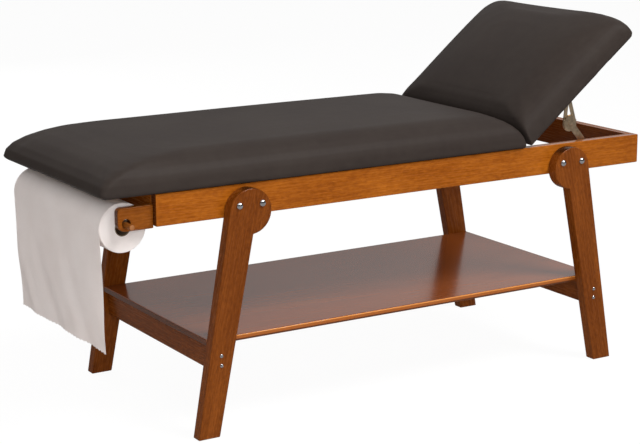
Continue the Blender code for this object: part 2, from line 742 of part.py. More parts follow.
def build_foot_plate(table, side_name, side, foot, steel):
    """Plate on the rail's inner face with a riveted stud for the lower arm."""
    half_x = STAY_FOOT_PLATE_LENGTH / 2
    half_z = STAY_FOOT_PLATE_HEIGHT / 2
    low, high = layer(side, FOOT_PLATE_LAYER)
    place = (foot.x, 0.0, foot.y)
    shape = box((-half_x, low, -half_z), (half_x, high, half_z))
    plate = add_piece(f"stay_foot_plate_{side_name}", shape, steel, table, place)
    seat = layer_face(LOWER_ARM_LAYER) - STAY_PLATE - SEAT_GAP
    stud = stepped_pin(side, [
        (STAY_PIN_RADIUS, layer_face(FOOT_PLATE_LAYER) - STAY_PLATE / 2, seat),
        (STAY_RIVET_RADIUS, seat, seat - STAY_RIVET_HEIGHT),
    ])
    combine(plate, add_cutter(f"stay_foot_stud_{side_name}", stud, table, place), "UNION")


def build_lower_arm(table, side_name, side, foot, knee, steel):
    """Toothed arm that turns on the foot plate's stud, with the outer head of its knee rivet."""
    low, high = layer(side, LOWER_ARM_LAYER)
    place = (foot.x, 0.0, foot.y)
    turn = turn_to(foot, knee)
    outline = prism(ratchet_outline(), low, high)
    arm = add_piece(f"stay_lower_arm_{side_name}", outline, steel, table, place, turn)
    bore = rod(STAY_PIN_RADIUS + PIVOT_GAP, low - CUT_MARGIN, high + CUT_MARGIN, KNUCKLE_SIDES)
    combine(arm, add_cutter(f"stay_foot_bore_{side_name}", bore, table, place, turn), "DIFFERENCE")
    face = layer_face(LOWER_ARM_LAYER)
    ends = sorted((side * (face - STAY_PLATE / 2), side * (face + STAY_RIVET_HEIGHT)))
    head = rod(STAY_RIVET_RADIUS, *ends, KNUCKLE_SIDES, (STAY_LOWER_LENGTH, 0.0))
    combine(arm, add_cutter(f"stay_knee_head_{side_name}", head, table, place, turn), "UNION")


def build_upper_arm(backrest, side_name, side, knee, back, steel):
    """Windowed arm that turns on the back bracket's stud, and the knee rivet that it carries."""
    low, high = layer(side, UPPER_ARM_LAYER)
    place = (STAY_BACK_REACH, 0.0, -STAY_BACK_DEPTH)
    turn = turn_to(back, knee) + BACKREST_ANGLE
    outline = prism(tapered_bar(STAY_UPPER_LENGTH, STAY_TIP_RADIUS, STAY_KNEE_RADIUS), low, high)
    arm = add_piece(f"stay_upper_arm_{side_name}", outline, steel, backrest, place, turn)
    span = (low - CUT_MARGIN, high + CUT_MARGIN)
    cuts = prism(window_outline(), *span)
    for reach in (0.0, STAY_UPPER_LENGTH):
        rod(STAY_PIN_RADIUS + PIVOT_GAP, *span, KNUCKLE_SIDES, (reach, 0.0), cuts)
    combine(arm, add_cutter(f"stay_upper_cuts_{side_name}", cuts, backrest, place, turn), "DIFFERENCE")
    face = layer_face(UPPER_ARM_LAYER)
    seat = face - STAY_PLATE - SEAT_GAP
    rivet = stepped_pin(side, [
        (STAY_PIN_RADIUS, face, seat),
        (STAY_RIVET_RADIUS, seat, seat - STAY_RIVET_HEIGHT),
    ])
    knee_place = (STAY_UPPER_LENGTH, 0.0, 0.0)
    add_piece(f"stay_knee_rivet_{side_name}", rivet, steel, arm, knee_place, smooth_angle=ROUND_EDGE)


def build_back_bracket(backrest, side_name, side, steel):
    """Angle bracket under the backrest board, with an ear and a stud for the upper arm."""
    underside = BOARD_BOTTOM - HINGE_Z - SEAT_GAP
    low, high = layer(side, BACK_EAR_LAYER)
    half = STAY_BACK_FLANGE_LENGTH / 2
    face = layer_face(BACK_EAR_LAYER)
    flange_low, flange_high = sorted((side * face, side * (face - STAY_BACK_FLANGE_WIDTH)))
    place = (STAY_BACK_REACH, 0.0, underside)
    flange = box((-half, flange_low, -STAY_PLATE), (half, flange_high, 0.0))
    bracket = add_piece(f"stay_back_bracket_{side_name}", flange, steel, backrest, place)
    drop = SEAT_GAP - STAY_BACK_DROP
    root = -STAY_PLATE / 2
    ear_outline = [(-STAY_EAR_WIDTH / 2, root)]
    ear_outline += arc((0.0, drop), STAY_TIP_RADIUS, math.pi, math.tau, ROUND_STEPS)
    ear_outline.append((STAY_EAR_WIDTH / 2, root))
    ear = prism(ear_outline, low, high)
    combine(bracket, add_cutter(f"stay_back_ear_{side_name}", ear, backrest, place), "UNION")
    ends = sorted((side * (face - STAY_PLATE / 2), side * layer_face(UPPER_ARM_LAYER)))
    stud = rod(STAY_PIN_RADIUS, *ends, KNUCKLE_SIDES, (0.0, drop))
    combine(bracket, add_cutter(f"stay_back_stud_{side_name}", stud, backrest, place), "UNION")


def arm_outline():
    """Holder arm seen from the side: a board with its two free corners rounded."""
    root_x = -RAIL_HALF - SEAT_GAP
    tip_x = -RAIL_HALF - ARM_REACH
    top = RAIL_TOP - ARM_DROP
    bottom = top - ARM_HEIGHT
    points = [(root_x, bottom), (root_x, top)]
    upper = (tip_x + ARM_TOP_RADIUS, top - ARM_TOP_RADIUS)
    lower = (tip_x + ARM_BOTTOM_RADIUS, bottom + ARM_BOTTOM_RADIUS)
    points += arc(upper, ARM_TOP_RADIUS, math.pi / 2, math.pi, ARM_CORNER_STEPS)
    points += arc(lower, ARM_BOTTOM_RADIUS, math.pi, 1.5 * math.pi, ARM_CORNER_STEPS)
    return points


def build_holder(table, woods):
    """Two arms on the foot end of the frame and the dowel that lies in their oversize bores."""
    bore_z = DOWEL_Z + DOWEL_BORE_RADIUS - DOWEL_RADIUS - SEAT_GAP
    for side_name, side in SIDES.items():
        low, high = sorted((side * ARM_INNER, side * ARM_OUTER))
        arm = add_piece(f"holder_arm_{side_name}", prism(arm_outline(), low, high), woods["rail"], table)
        ease_edges(arm, WOOD_EASE)
        bore = rod(DOWEL_BORE_RADIUS, low - CUT_MARGIN, high + CUT_MARGIN, DOWEL_SIDES, (DOWEL_X, bore_z))
        combine(arm, add_cutter(f"holder_bore_{side_name}", bore, table), "DIFFERENCE")
    end = ARM_OUTER + DOWEL_PROUD
    profile = [(0.0, -end), (DOWEL_RADIUS - DOWEL_EASE, -end), (DOWEL_RADIUS, -end + DOWEL_EASE)]
    profile += [(DOWEL_RADIUS, end - DOWEL_EASE), (DOWEL_RADIUS - DOWEL_EASE, end), (0.0, end)]
    place = (DOWEL_X, 0.0, DOWEL_Z)
    dowel = turned(profile, DOWEL_SIDES)
    add_piece("holder_dowel", dowel, woods["dowel"], table, place, smooth_angle=ROUND_EDGE)


def build_roll(table, paper, cardboard):
    """The couch roll on its core, hung on the dowel."""
    half = PAPER_WIDTH / 2
    core_outer = CORE_RADIUS + CORE_WALL
    place = (DOWEL_X, 0.0, ROLL_Z)
    profile = [(CORE_RADIUS, -half), (core_outer, -half), (core_outer, half), (CORE_RADIUS, half)]
    core = turned_tube(profile, ROLL_SIDES)
    add_piece("roll_core", core, cardboard, table, place, smooth_angle=ROUND_EDGE)
    inner = core_outer + SEAT_GAP
    eased = ROLL_RADIUS - ROLL_EASE
    profile = [(inner, -half), (eased, -half), (ROLL_RADIUS, -half + ROLL_EASE)]
    profile += [(ROLL_RADIUS, half - ROLL_EASE), (eased, half), (inner, half)]
    roll = turned_tube(profile, ROLL_SIDES)
    add_piece("paper_roll", roll, paper, table, place, smooth_angle=ROUND_EDGE)


def sheet_path():
    """Middle line of the hanging paper in X and Z, each point with the share of the drop reached."""
    radius = ROLL_RADIUS + SEAT_GAP + SHEET_THICKNESS / 2
    path = []
    for i in range(SHEET_ROLL_STEPS):
        turn = math.pi / 2 + SHEET_START * (i / SHEET_ROLL_STEPS - 1) + math.pi / 2
        path.append((DOWEL_X + radius * math.cos(turn), ROLL_Z + radius * math.sin(turn), 0.0))
    for i in range(SHEET_DROP_STEPS + 1):
        share = i / SHEET_DROP_STEPS
        bent = max(0.0, share - SHEET_BEND_START) / (1 - SHEET_BEND_START)
        lean = SHEET_LEAN * bent ** 2 * (3 - 2 * bent)
        path.append((DOWEL_X - radius + lean, ROLL_Z + (SHEET_BOTTOM - ROLL_Z) * share, share))
    return path


def build_sheet(table, paper):
    """The loose length of paper, which hangs from the roll with waves that grow towards its end."""
    shape = bmesh.new()
    path = sheet_path()
    half = PAPER_WIDTH / 2
    rows = []
    for i, (x, z, share) in enumerate(path):
        before = Vector(path[max(i - 1, 0)][:2])
        after = Vector(path[min(i + 1, len(path) - 1)][:2])
        along = (after - before).normalized()
        normal = Vector((-along.y, along.x)) * SHEET_THICKNESS / 2
        row = []
        for j in range(SHEET_WIDTH_STEPS + 1):
            y = -half + PAPER_WIDTH * j / SHEET_WIDTH_STEPS
            phase = SHEET_WAVES * (j / SHEET_WIDTH_STEPS + SHEET_WAVE_SLANT * share)
            wave = SHEET_WAVE * share * (1 + math.sin(math.tau * phase))
            faces = [(x + wave + sign * normal.x, y, z + sign * normal.y) for sign in (1, -1)]
            row.append([shape.verts.new(place) for place in faces])
        rows.append([pair[0] for pair in row] + [pair[1] for pair in reversed(row)])
    bridge(shape, rows)
    for row in (rows[0], rows[-1]):
        for j in range(SHEET_WIDTH_STEPS):
            shape.faces.new((row[j], row[j + 1], row[-2 - j], row[-1 - j]))
    add_piece("paper_sheet", shape, paper, table, smooth_angle=SOFT_EDGE)


def main():
    """Build the whole table."""
    clear_scene()
    woods = {
        "rail": finish("varnished_rail_wood", (0.42, 0.17, 0.035), 0.32),
        "leg": finish("varnished_leg_wood", (0.20, 0.062, 0.018), 0.32),
        "dowel": finish("varnished_dowel_wood", (0.36, 0.16, 0.05), 0.40),
    }
    plywood = finish("varnished_plywood", (0.26, 0.10, 0.04), 0.20)
    board = finish("bare_plywood", (0.45, 0.33, 0.20), 0.65)
    leather = finish("charcoal_leatherette", (0.045, 0.038, 0.035), 0.45)
    chrome = finish("polished_chrome", (0.75, 0.75, 0.76), 0.12, 1.0)
    steel = finish("plated_steel", (0.50, 0.47, 0.42), 0.35, 1.0)
    paper = finish("white_tissue_paper", (0.80, 0.79, 0.78), 0.90)
    cardboard = finish("grey_cardboard", (0.34, 0.28, 0.22), 0.90)

    table = add_empty("massage_table", location=(-TABLE_MIDDLE_X, 0.0, 0.0))
    backrest = add_empty("backrest_pivot", table, (HINGE_X, 0.0, HINGE_Z), -BACKREST_ANGLE)
    rails = build_frame(table, woods)
    build_legs(table, rails, woods, chrome)
    build_shelf(table, plywood)
    build_cushions(table, backrest, leather, board)
    build_hinges(table, backrest, steel)
    build_stays(table, backrest, steel)
    build_holder(table, woods)
    build_roll(table, paper, cardboard)
    build_sheet(table, paper)


main()
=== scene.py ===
"""Massage table in varnished timber and charcoal leatherette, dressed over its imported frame.

All places are in metres in the table's own frame: X runs along the length towards the head end with the
lifting backrest, Y across the width away from the viewer, and Z up from the floor.
"""
import json
import logging
import math
from dataclasses import dataclass
from enum import Enum
from typing import Any, Dict, List, Sequence, Tuple, Union

import bmesh
import bpy
import numpy as np
from mathutils import Color, Euler, Matrix, Vector


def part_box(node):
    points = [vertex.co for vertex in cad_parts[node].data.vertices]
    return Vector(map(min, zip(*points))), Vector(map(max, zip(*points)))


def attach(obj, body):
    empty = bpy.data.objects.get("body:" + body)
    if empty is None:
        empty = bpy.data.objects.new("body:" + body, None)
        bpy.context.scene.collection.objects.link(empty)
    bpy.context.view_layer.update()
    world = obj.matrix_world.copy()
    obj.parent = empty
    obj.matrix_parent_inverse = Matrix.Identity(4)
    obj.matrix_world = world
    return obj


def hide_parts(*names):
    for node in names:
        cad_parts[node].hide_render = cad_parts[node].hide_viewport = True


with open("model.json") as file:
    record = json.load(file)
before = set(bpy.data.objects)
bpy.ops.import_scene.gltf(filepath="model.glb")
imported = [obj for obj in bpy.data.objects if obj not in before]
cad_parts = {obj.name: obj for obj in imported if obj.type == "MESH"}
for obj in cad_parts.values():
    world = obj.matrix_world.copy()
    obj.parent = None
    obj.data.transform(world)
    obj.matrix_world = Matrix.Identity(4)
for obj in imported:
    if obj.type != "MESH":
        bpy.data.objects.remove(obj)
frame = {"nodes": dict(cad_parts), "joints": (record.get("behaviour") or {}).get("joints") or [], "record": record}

log = logging.getLogger("massage_table")
logging.basicConfig(level=logging.INFO, format="%(name)s: %(message)s")

Colour = Tuple[float, float, float, float]
Place = Tuple[float, float, float]
Limits = Tuple[float, float]
Material = bpy.types.Material
Piece = bpy.types.Object
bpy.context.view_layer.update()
MERGE_DISTANCE = 1e-5
SIDES = ("near", "far")
ENDS = ("foot", "head")
RECORD = frame["record"]
BODIES = {node: body for body, nodes in RECORD["behaviour"]["bodies"].items() for node in nodes}
BACKREST_JOINT = next(joint for joint in frame["joints"] if joint["name"] == "backrest_lift")
HINGE = BACKREST_JOINT["pos_m"]
LIFT = math.radians(-BACKREST_JOINT["range_deg"][0])
WHITE = (1.0, 1.0, 1.0, 1.0)
ALONG = (1.0, 0.0, 0.0)
UP = (0.0, 0.0, 1.0)
LEG_RUN = 0.1425
LEG_RISE = 0.634
LEG_LEAN = math.atan2(LEG_RUN, LEG_RISE)
EASE_STEP = 0.5
EASE_BACK = -0.51
INPUT_KINDS = {
    float: "NodeSocketFloat",
    int: "NodeSocketInt",
    Material: "NodeSocketMaterial",
}
CLOTH_SETTINGS = {
    "quality": 3,
    "mass": 0.3,
    "tension_stiffness": 40.0,
    "compression_stiffness": 40.0,
    "bending_stiffness": 8.0,
    "use_pressure": True,
}


def tone(red: int, green: int, blue: int) -> Colour:
    """Linear colour of a display colour whose parts run from 0 to 255."""
    linear = Color((red / 255, green / 255, blue / 255)).from_srgb_to_scene_linear()
    return linear.r, linear.g, linear.b, 1.0


class Socket:
    """Output of a node that can be used in sums, products and comparisons."""

    def __init__(self, nodes: "Nodes", link: bpy.types.NodeSocket) -> None:
        """Keep the nodes and the output that is wrapped."""
        self.nodes = nodes
        self.link = link

    def combined(self, operation: str, first: "Value", second: "Value") -> "Socket":
        """Join two values by a Math node."""
        return self.nodes.node("ShaderNodeMath", {0: first, 1: second}, operation=operation)

    def __add__(self, other: "Value") -> "Socket":
        """Sum of two values."""
        return self.combined("ADD", self, other)

    __radd__ = __add__

    def __sub__(self, other: "Value") -> "Socket":
        """This value less another."""
        return self.combined("SUBTRACT", self, other)

    def __rsub__(self, other: "Value") -> "Socket":
        """Another value less this one."""
        return self.combined("SUBTRACT", other, self)

    def __mul__(self, other: "Value") -> "Socket":
        """Product of two values."""
        return self.combined("MULTIPLY", self, other)

    __rmul__ = __mul__

    def __lt__(self, other: "Value") -> "Socket":
        """1 where this value is the smaller one, else 0."""
        return self.combined("LESS_THAN", self, other)

    def size(self) -> "Socket":
        """The value without its sign."""
        return self.combined("ABSOLUTE", self, 0.0)


Value = Union[Socket, float, Sequence[float]]


class Nodes:
    """Node tree whose nodes are added one by one."""

    def __init__(self, tree: bpy.types.NodeTree) -> None:
        """Keep the tree."""
        self.tree = tree

    def node(self, kind: str, sockets: Dict, output: Union[int, str] = 0, **settings: Any) -> Socket:
        """Add a node.

        Args:
            kind: Type of the node.
            sockets: Values or links of its inputs, by name or number.
            output: Which output to return.
            settings: Properties that are set first.

        Returns:
            The chosen output.
        """
        made = self.tree.nodes.new(kind)
        for key, value in settings.items():
            setattr(made, key, value)
        self.feed(made, sockets)
        return Socket(self, made.outputs[output])

    def feed(self, made: bpy.types.Node, sockets: Dict) -> None:
        """Link or set inputs of a node.

        Args:
            made: The node.
            sockets: Values or links by name or number of the input; a list links one input several times.
        """
        for key, value in sockets.items():
            for single in value if isinstance(value, list) else [value]:
                if isinstance(single, Socket):
                    self.tree.links.new(single.link, made.inputs[key])
                else:
                    made.inputs[key].default_value = single


class Shader(Nodes):
    """Nodes of one finish, or of the surroundings, around their first surface node."""

    def __init__(self, name: str, world: bool = False) -> None:
        """Make the material or the world and find its nodes.

        Args:
            name: Name of the material or world.
            world: Whether to make a world.
        """
        self.owner = bpy.data.worlds.new(name) if world else bpy.data.materials.new(name)
        self.owner.use_nodes = True
        super().__init__(self.owner.node_tree)
        self.surface = self.tree.nodes["Background" if world else "Principled BSDF"]
        self.end = self.tree.nodes["World Output" if world else "Material Output"]
        self.light = "ShaderNodeBackground" if world else "ShaderNodeEmission"
        self.top = Socket(self, self.surface.outputs[0])

    def coordinates(self, kind: str = "Object") -> Socket:
        """Coordinates of one kind; those of the object are the table's own."""
        return self.node("ShaderNodeTexCoord", {}, kind)

    def vectors(self, operation: str, first: Value, second: Value, output: str = "Vector") -> Socket:
        """Join two vectors by a Vector Math node."""
        return self.node("ShaderNodeVectorMath", {0: first, 1: second}, output, operation=operation)

    def facing(self, way: Sequence[float]) -> Socket:
        """How squarely the surface faces one way or its opposite, from 0 to 1."""
        return self.vectors("DOT_PRODUCT", self.coordinates("Normal"), way, "Value").size()

    def inwards(self) -> Socket:
        """1 on upright faces that look towards the table's middle, else 0."""
        level = self.vectors("MULTIPLY", self.coordinates("Normal"), (1.0, 1.0, 0.0))
        outward = self.vectors("DOT_PRODUCT", self.coordinates(), level, "Value")
        return self.spread(outward * -1.0, 0.10, 0.25)

    def part(self, vector: Socket, number: int) -> Socket:
        """X, Y or Z of a vector, as number 0, 1 or 2."""
        return self.node("ShaderNodeSeparateXYZ", {0: vector}, number)

    def noise(self, vector: Socket, scale: float, detail: float = 2.0, distortion: float = 0.0) -> Socket:
        """Cloudy value from 0 to 1."""
        sockets = {"Vector": vector, "Scale": scale, "Detail": detail, "Distortion": distortion}
        return self.node("ShaderNodeTexNoise", sockets, "Fac")

    def grain(self, way: "Grain", stretch: Sequence[float], **noise: float) -> Socket:
        """Noise that is drawn out along the fibres, by how fast it changes along, across and through."""
        turned = self.node("ShaderNodeMapping", {"Vector": self.coordinates(), "Rotation": way.value})
        return self.noise(self.vectors("MULTIPLY", turned, stretch), **noise)

    def ramp(self, value: Socket, stops: Sequence[Tuple[float, Colour]]) -> Socket:
        """Colours along a value.

        Args:
            value: The value.
            stops: Where along it each colour stands.

        Returns:
            The colour.
        """
        colours = self.node("ShaderNodeValToRGB", {0: value}, "Color")
        elements = colours.link.node.color_ramp.elements
        while len(elements) < len(stops):
            elements.new(1.0)
        for element, (place, colour) in zip(elements, stops):
            element.position = place
            element.color = colour
        return colours

    def spread(self, value: Socket, low: float, high: float) -> Socket:
        """Value stretched so that low becomes 0 and high becomes 1, held between them."""
        sockets = {"Value": value, "From Min": low, "From Max": high}
        return self.node("ShaderNodeMapRange", sockets, clamp=True)

    def mix(self, share: Value, first: Value, second: Value) -> Socket:
        """Blend of two colours."""
        return self.node("ShaderNodeMix", {0: share, 6: first, 7: second}, 2, data_type="RGBA")

    def bump(self, height: Socket, strength: float, distance: float) -> Socket:
        """Surface direction with a small relief."""
        sockets = {"Height": height, "Strength": strength, "Distance": distance}
        return self.node("ShaderNodeBump", sockets)

    def ray(self, kind: str) -> Socket:
        """1 for one kind of ray, else 0."""
        return self.node("ShaderNodeLightPath", {}, f"Is {kind} Ray")

    def seen(self) -> Socket:
        """1 for what the camera sees, also through something, else 0."""
        return self.ray("Camera") + self.ray("Transmission")

    def glow(self, strength: float) -> Socket:
        """Plain white light."""
        return self.node(self.light, {"Color": WHITE, "Strength": strength})

    def finish(self, sockets: Dict[str, Value]) -> bpy.types.ID:
        """Set the surface's sockets and return the material or world."""
        self.feed(self.surface, sockets)
        return self.owner

    def cover(self, share: Value, other: Socket) -> None:
        """Let another surface stand in for what is there so far, by a share."""
        self.top = self.node("ShaderNodeMixShader", {0: share, 1: self.top, 2: other})
        self.feed(self.end, {"Surface": self.top})


class Grain(Enum):
    """Which way the fibres of a timber run, as the turn that lays them along X."""

    LENGTHWAYS = (0.0, 0.0, 0.0)
    CROSSWAYS = (0.0, 0.0, -math.pi / 2)
    FOOT_LEG = (0.0, math.pi / 2 - LEG_LEAN, 0.0)
    HEAD_LEG = (0.0, math.pi / 2 + LEG_LEAN, 0.0)

    def fibres(self) -> Vector:
        """Way of the fibres in the table's frame."""
        return Euler(self.value).to_matrix().transposed() @ Vector(ALONG)


@dataclass(frozen=True)
class Finish:
    """Name of a finish and the two tones that it varies between."""

    name: str
    dark: Colour
    light: Colour


@dataclass(frozen=True)
class VarnishedTimber(Finish):
    """Stained solid timber under satin varnish."""

    fleck: Colour
    cut: Colour
    roughness: float = 0.27
    unevenness: float = 0.14
    coat: float = 0.04
    # Share of the cut colour on faces that look inwards: painted shade for the inside of the frame.
    inner_shade: float = 0.0
    upper_coat: float = 0.0

    def material(self, way: Grain) -> Material:
        """Make the finish for fibres that run one way.

        Args:
            way: Way of the fibres.

        Returns:
            The material.
        """
        shader = Shader(f"{self.name}_{way.name.lower()}")
        figure = shader.grain(way, (1.6, 11.0, 11.0), scale=1.6, detail=4.0, distortion=0.6)
        mottle = shader.grain(way, (30.0, 90.0, 90.0), scale=2.0, detail=3.0)
        fibre = shader.grain(way, (6.0, 150.0, 150.0), scale=2.0, detail=5.0)
        dashes = shader.grain(way, (40.0, 260.0, 260.0), scale=2.0, detail=2.0)
        share = shader.spread(figure * 0.40 + mottle * 0.35 + fibre * 0.25, 0.38, 0.64)
        stain = shader.ramp(share, [(0.0, self.dark), (1.0, self.light)])
        marks = shader.spread(dashes, 0.58, 0.74)
        lengthways = shader.mix(marks * 0.5, stain, self.fleck)
        cut = shader.spread(shader.facing(way.fibres()), 0.80, 0.94)
        # Faces that look into the frame darken towards the cut colour: painted shade.
        inward_shaded = shader.mix(shader.inwards() * self.inner_shade, lengthways, self.cut)
        level = shader.spread(shader.facing(UP), 0.60, 0.90)
        return shader.finish({
            "Base Color": shader.mix(cut, inward_shaded, self.cut),
            "Roughness": fibre * self.unevenness + (self.roughness - self.unevenness / 2),
            "Specular IOR Level": 0.12,
            "Coat Weight": level * self.upper_coat + self.coat,
            "Coat Roughness": 0.12,
            "Normal": shader.bump(fibre * 0.6 + marks * -0.5, strength=0.10, distance=0.0006),
        })


@dataclass(frozen=True)
class VarnishedPlywood(Finish):
    """Glossy veneered board whose edges take the stain, with a painted highlight along the upper rim and painted
    shade low on the edges and over the end faces.
    """

    # Painted highlight colour, the edges' own tone, and painted shade colour.
    highlight_arris: Colour
    edge: Colour
    shaded_lower_edge: Colour
    roughness: float = 0.20
    unevenness: float = 0.10
    coat: float = 0.10

    def material(self, top: float, thickness: float) -> Material:
        """Make the finish of a level board whose veneer runs along X.

        Args:
            top: Height of its upper face.
            thickness: Its thickness.

        Returns:
            The material.
        """
        shader = Shader(self.name)
        figure = shader.grain(Grain.LENGTHWAYS, (1.2, 6.0, 6.0), scale=1.3, detail=5.0, distortion=1.1)
        fibre = shader.grain(Grain.LENGTHWAYS, (5.0, 110.0, 110.0), scale=2.0, detail=4.0)
        share = shader.spread(figure * 0.75 + fibre * 0.25, 0.22, 0.84)
        veneer = shader.ramp(share, [(0.0, self.dark), (1.0, self.light)])
        depth = (top - shader.part(shader.coordinates(), 2)) * (1.0 / thickness) + fibre * 0.08
        # Down through the thickness: painted highlight at the top, the edges' own tone, then painted shade towards
        # the bottom.
        highlight_stops = [(0.0, self.highlight_arris), (0.20, self.highlight_arris)]
        edge_and_shade_stops = [(0.30, self.edge), (0.66, self.edge), (0.74, self.shaded_lower_edge)]
        edge = shader.ramp(depth, highlight_stops + edge_and_shade_stops)
        # End faces take the painted shade colour.
        end = shader.spread(shader.facing(ALONG), 0.45, 0.75)
        side = shader.spread(shader.facing(UP), 0.85, 0.55)
        return shader.finish({
            "Base Color": shader.mix(side, veneer, shader.mix(end, edge, self.shaded_lower_edge)),
            "Roughness": fibre * self.unevenness + (self.roughness - self.unevenness / 2),
            "Specular IOR Level": 0.45,
            "Coat Weight": self.coat,
            "Coat Roughness": 0.10,
            "Normal": shader.bump(fibre, strength=0.06, distance=0.0005),
        })


@dataclass(frozen=True)
class WrappedBoard(Finish):
    """Bare plywood whose edges and margin are wrapped in the cushion's cover."""

    cover: Colour
    margin: float = 0.040
    raggedness: float = 0.008

    def material(self, half_length: float, half_width: float) -> Material:
        """Make the finish from the board's flat map, in metres from its middle.

        Args:
            half_length: Half of the board's length.
            half_width: Half of its width.

        Returns:
            The material.
        """
        shader = Shader(self.name)
        flat = shader.coordinates("UV")
        stretched = shader.vectors("MULTIPLY", flat, (3.0, 90.0, 1.0))
        grain = shader.noise(stretched, scale=2.0, detail=5.0, distortion=0.4)
        pebbles = shader.noise(flat, scale=700.0)
        ragged = (shader.noise(flat, scale=30.0) - 0.5) * self.raggedness
        inside_ends = shader.part(flat, 0).size() + ragged < half_length - self.margin
        inside_sides = shader.part(flat, 1).size() + ragged < half_width - self.margin
        bare = inside_ends * inside_sides
        wood = shader.mix(shader.spread(grain, 0.35, 0.68), self.dark, self.light)
        return shader.finish({
            "Base Color": shader.mix(bare, self.cover, wood),
            "Roughness": bare * 0.16 + pebbles * 0.10 + 0.46,
            "Specular IOR Level": 0.15,
            "Normal": shader.bump(grain * bare + pebbles, strength=0.10, distance=0.0005),
        })


@dataclass(frozen=True)
class Leatherette(Finish):
    """Coated upholstery cloth with a fine pebbled grain and a soft sheen."""

    roughness: float
    pebble: float = 0.0011

    def material(self) -> Material:
        """Make the finish."""
        shader = Shader(self.name)
        place = shader.coordinates()
        cells = {"Vector": place, "Scale": 1.0 / self.pebble}
        pebbles = shader.node("ShaderNodeTexVoronoi", cells, "Distance")
        creases = shader.noise(place, scale=420.0, detail=3.0)
        cloud = shader.noise(place, scale=5.0, detail=3.0)
        mottle = shader.noise(place, scale=38.0, detail=3.0)
        share = shader.spread(cloud * 0.6 + mottle * 0.4, 0.30, 0.70)
        return shader.finish({
            "Base Color": shader.mix(share, self.dark, self.light),
            "Roughness": pebbles * 0.10 + mottle * 0.08 + (self.roughness - 0.09),
            "Specular IOR Level": 0.05,
            "Normal": shader.bump(pebbles * 0.7 + creases * 0.5, strength=0.16, distance=0.0004),
        })


@dataclass(frozen=True)
class PlatedMetal(Finish):
    """Plated steel or chrome with faint streaks and rubbed patches."""

    roughness: float
    streak: float

    def material(self) -> Material:
        """Make the finish."""
        shader = Shader(self.name)
        streaks = shader.grain(Grain.LENGTHWAYS, (30.0, 30.0, 900.0), scale=1.0, detail=3.0)
        patches = shader.noise(shader.coordinates(), scale=60.0, detail=4.0)
        return shader.finish({
            "Base Color": shader.mix(shader.spread(patches, 0.38, 0.72), self.light, self.dark),
            "Metallic": 1.0,
            "Roughness": streaks * self.streak + patches * self.streak + (self.roughness - self.streak),
            "Normal": shader.bump(streaks, strength=0.05, distance=0.0002),
        })


@dataclass(frozen=True)
class TissuePaper(Finish):
    """Soft white couch paper with a fine crepe."""

    crepe: float
    through: float = 0.25

    def material(self) -> Material:
        """Make the finish."""
        shader = Shader(self.name)
        crepe = shader.grain(Grain.CROSSWAYS, (160.0, 700.0, 700.0), scale=1.0, detail=3.0)
        cloud = shader.noise(shader.coordinates(), scale=9.0, detail=3.0)
        share = shader.spread(cloud * 0.7 + crepe * 0.3, 0.30, 0.66)
        shader.cover(self.through, shader.node("ShaderNodeBsdfTranslucent", {"Color": self.light}))
        return shader.finish({
            "Base Color": shader.mix(share, self.dark, self.light),
            "Roughness": crepe * 0.10 + 0.82,
            "Specular IOR Level": 0.20,
            "Normal": shader.bump(crepe, strength=self.crepe, distance=0.0005),
        })


@dataclass(frozen=True)
class Cardboard(Finish):
    """Wound grey board of a roll's core."""

    def material(self) -> Material:
        """Make the finish."""
        shader = Shader(self.name)
        fibres = shader.grain(Grain.LENGTHWAYS, (300.0, 90.0, 300.0), scale=1.0, detail=4.0)
        return shader.finish({
            "Base Color": shader.mix(fibres, self.dark, self.light),
            "Roughness": fibres * 0.10 + 0.80,
            "Normal": shader.bump(fibres, strength=0.15, distance=0.0004),
        })


# Rail timber with painted shade on its inner faces and a heavier coat on its upper faces.
RAIL_TIMBER = VarnishedTimber(
    "rail_timber", tone(133, 67, 10), tone(172, 97, 24), tone(108, 52, 8), tone(84, 40, 12),
    inner_shade=0.75, upper_coat=0.70,
)
# Tones darker than the rail timber: partly a browner wood, partly painted shade for the arms, which sit in shadow
# beside the end of the frame.
ARM_TIMBER = VarnishedTimber(
    "arm_timber", tone(110, 55, 10), tone(144, 80, 22), tone(90, 43, 8), tone(74, 36, 11),
)
LEG_TIMBER = VarnishedTimber(
    "leg_timber", tone(96, 45, 8), tone(134, 71, 22), tone(72, 33, 6), tone(60, 28, 8),
)
DOWEL_TIMBER = VarnishedTimber(
    "dowel_timber", tone(112, 60, 18), tone(140, 82, 32), tone(88, 46, 14), tone(152, 100, 62),
)
# Shelf whose edges carry a painted highlight on top, and painted shade below and at the ends.
SHELF_PLYWOOD = VarnishedPlywood(
    "shelf_plywood", tone(120, 59, 25), tone(148, 79, 37),
    highlight_arris=tone(216, 140, 70), edge=tone(160, 88, 32), shaded_lower_edge=tone(92, 46, 16),
)
LEATHERETTE = Leatherette("charcoal_leatherette", tone(51, 44, 41), tone(58, 51, 47), roughness=0.46)
BOARD_PLYWOOD = WrappedBoard("board_plywood", tone(150, 120, 84), tone(188, 158, 116), tone(46, 41, 39))
CHROME = PlatedMetal(
    "polished_chrome", tone(205, 205, 208), tone(226, 226, 228), roughness=0.08, streak=0.03,
)
STEEL = PlatedMetal(
    "zinc_plated_steel", tone(178, 156, 128), tone(230, 205, 172), roughness=0.36, streak=0.12,
)
PAPER = TissuePaper("couch_paper", tone(240, 231, 227), tone(248, 241, 238), crepe=0.25)
CARDBOARD = Cardboard("core_cardboard", tone(104, 88, 72), tone(140, 122, 100))


def link(piece: Piece) -> Piece:
    """Put an object into the scene."""
    bpy.context.scene.collection.objects.link(piece)
    return piece


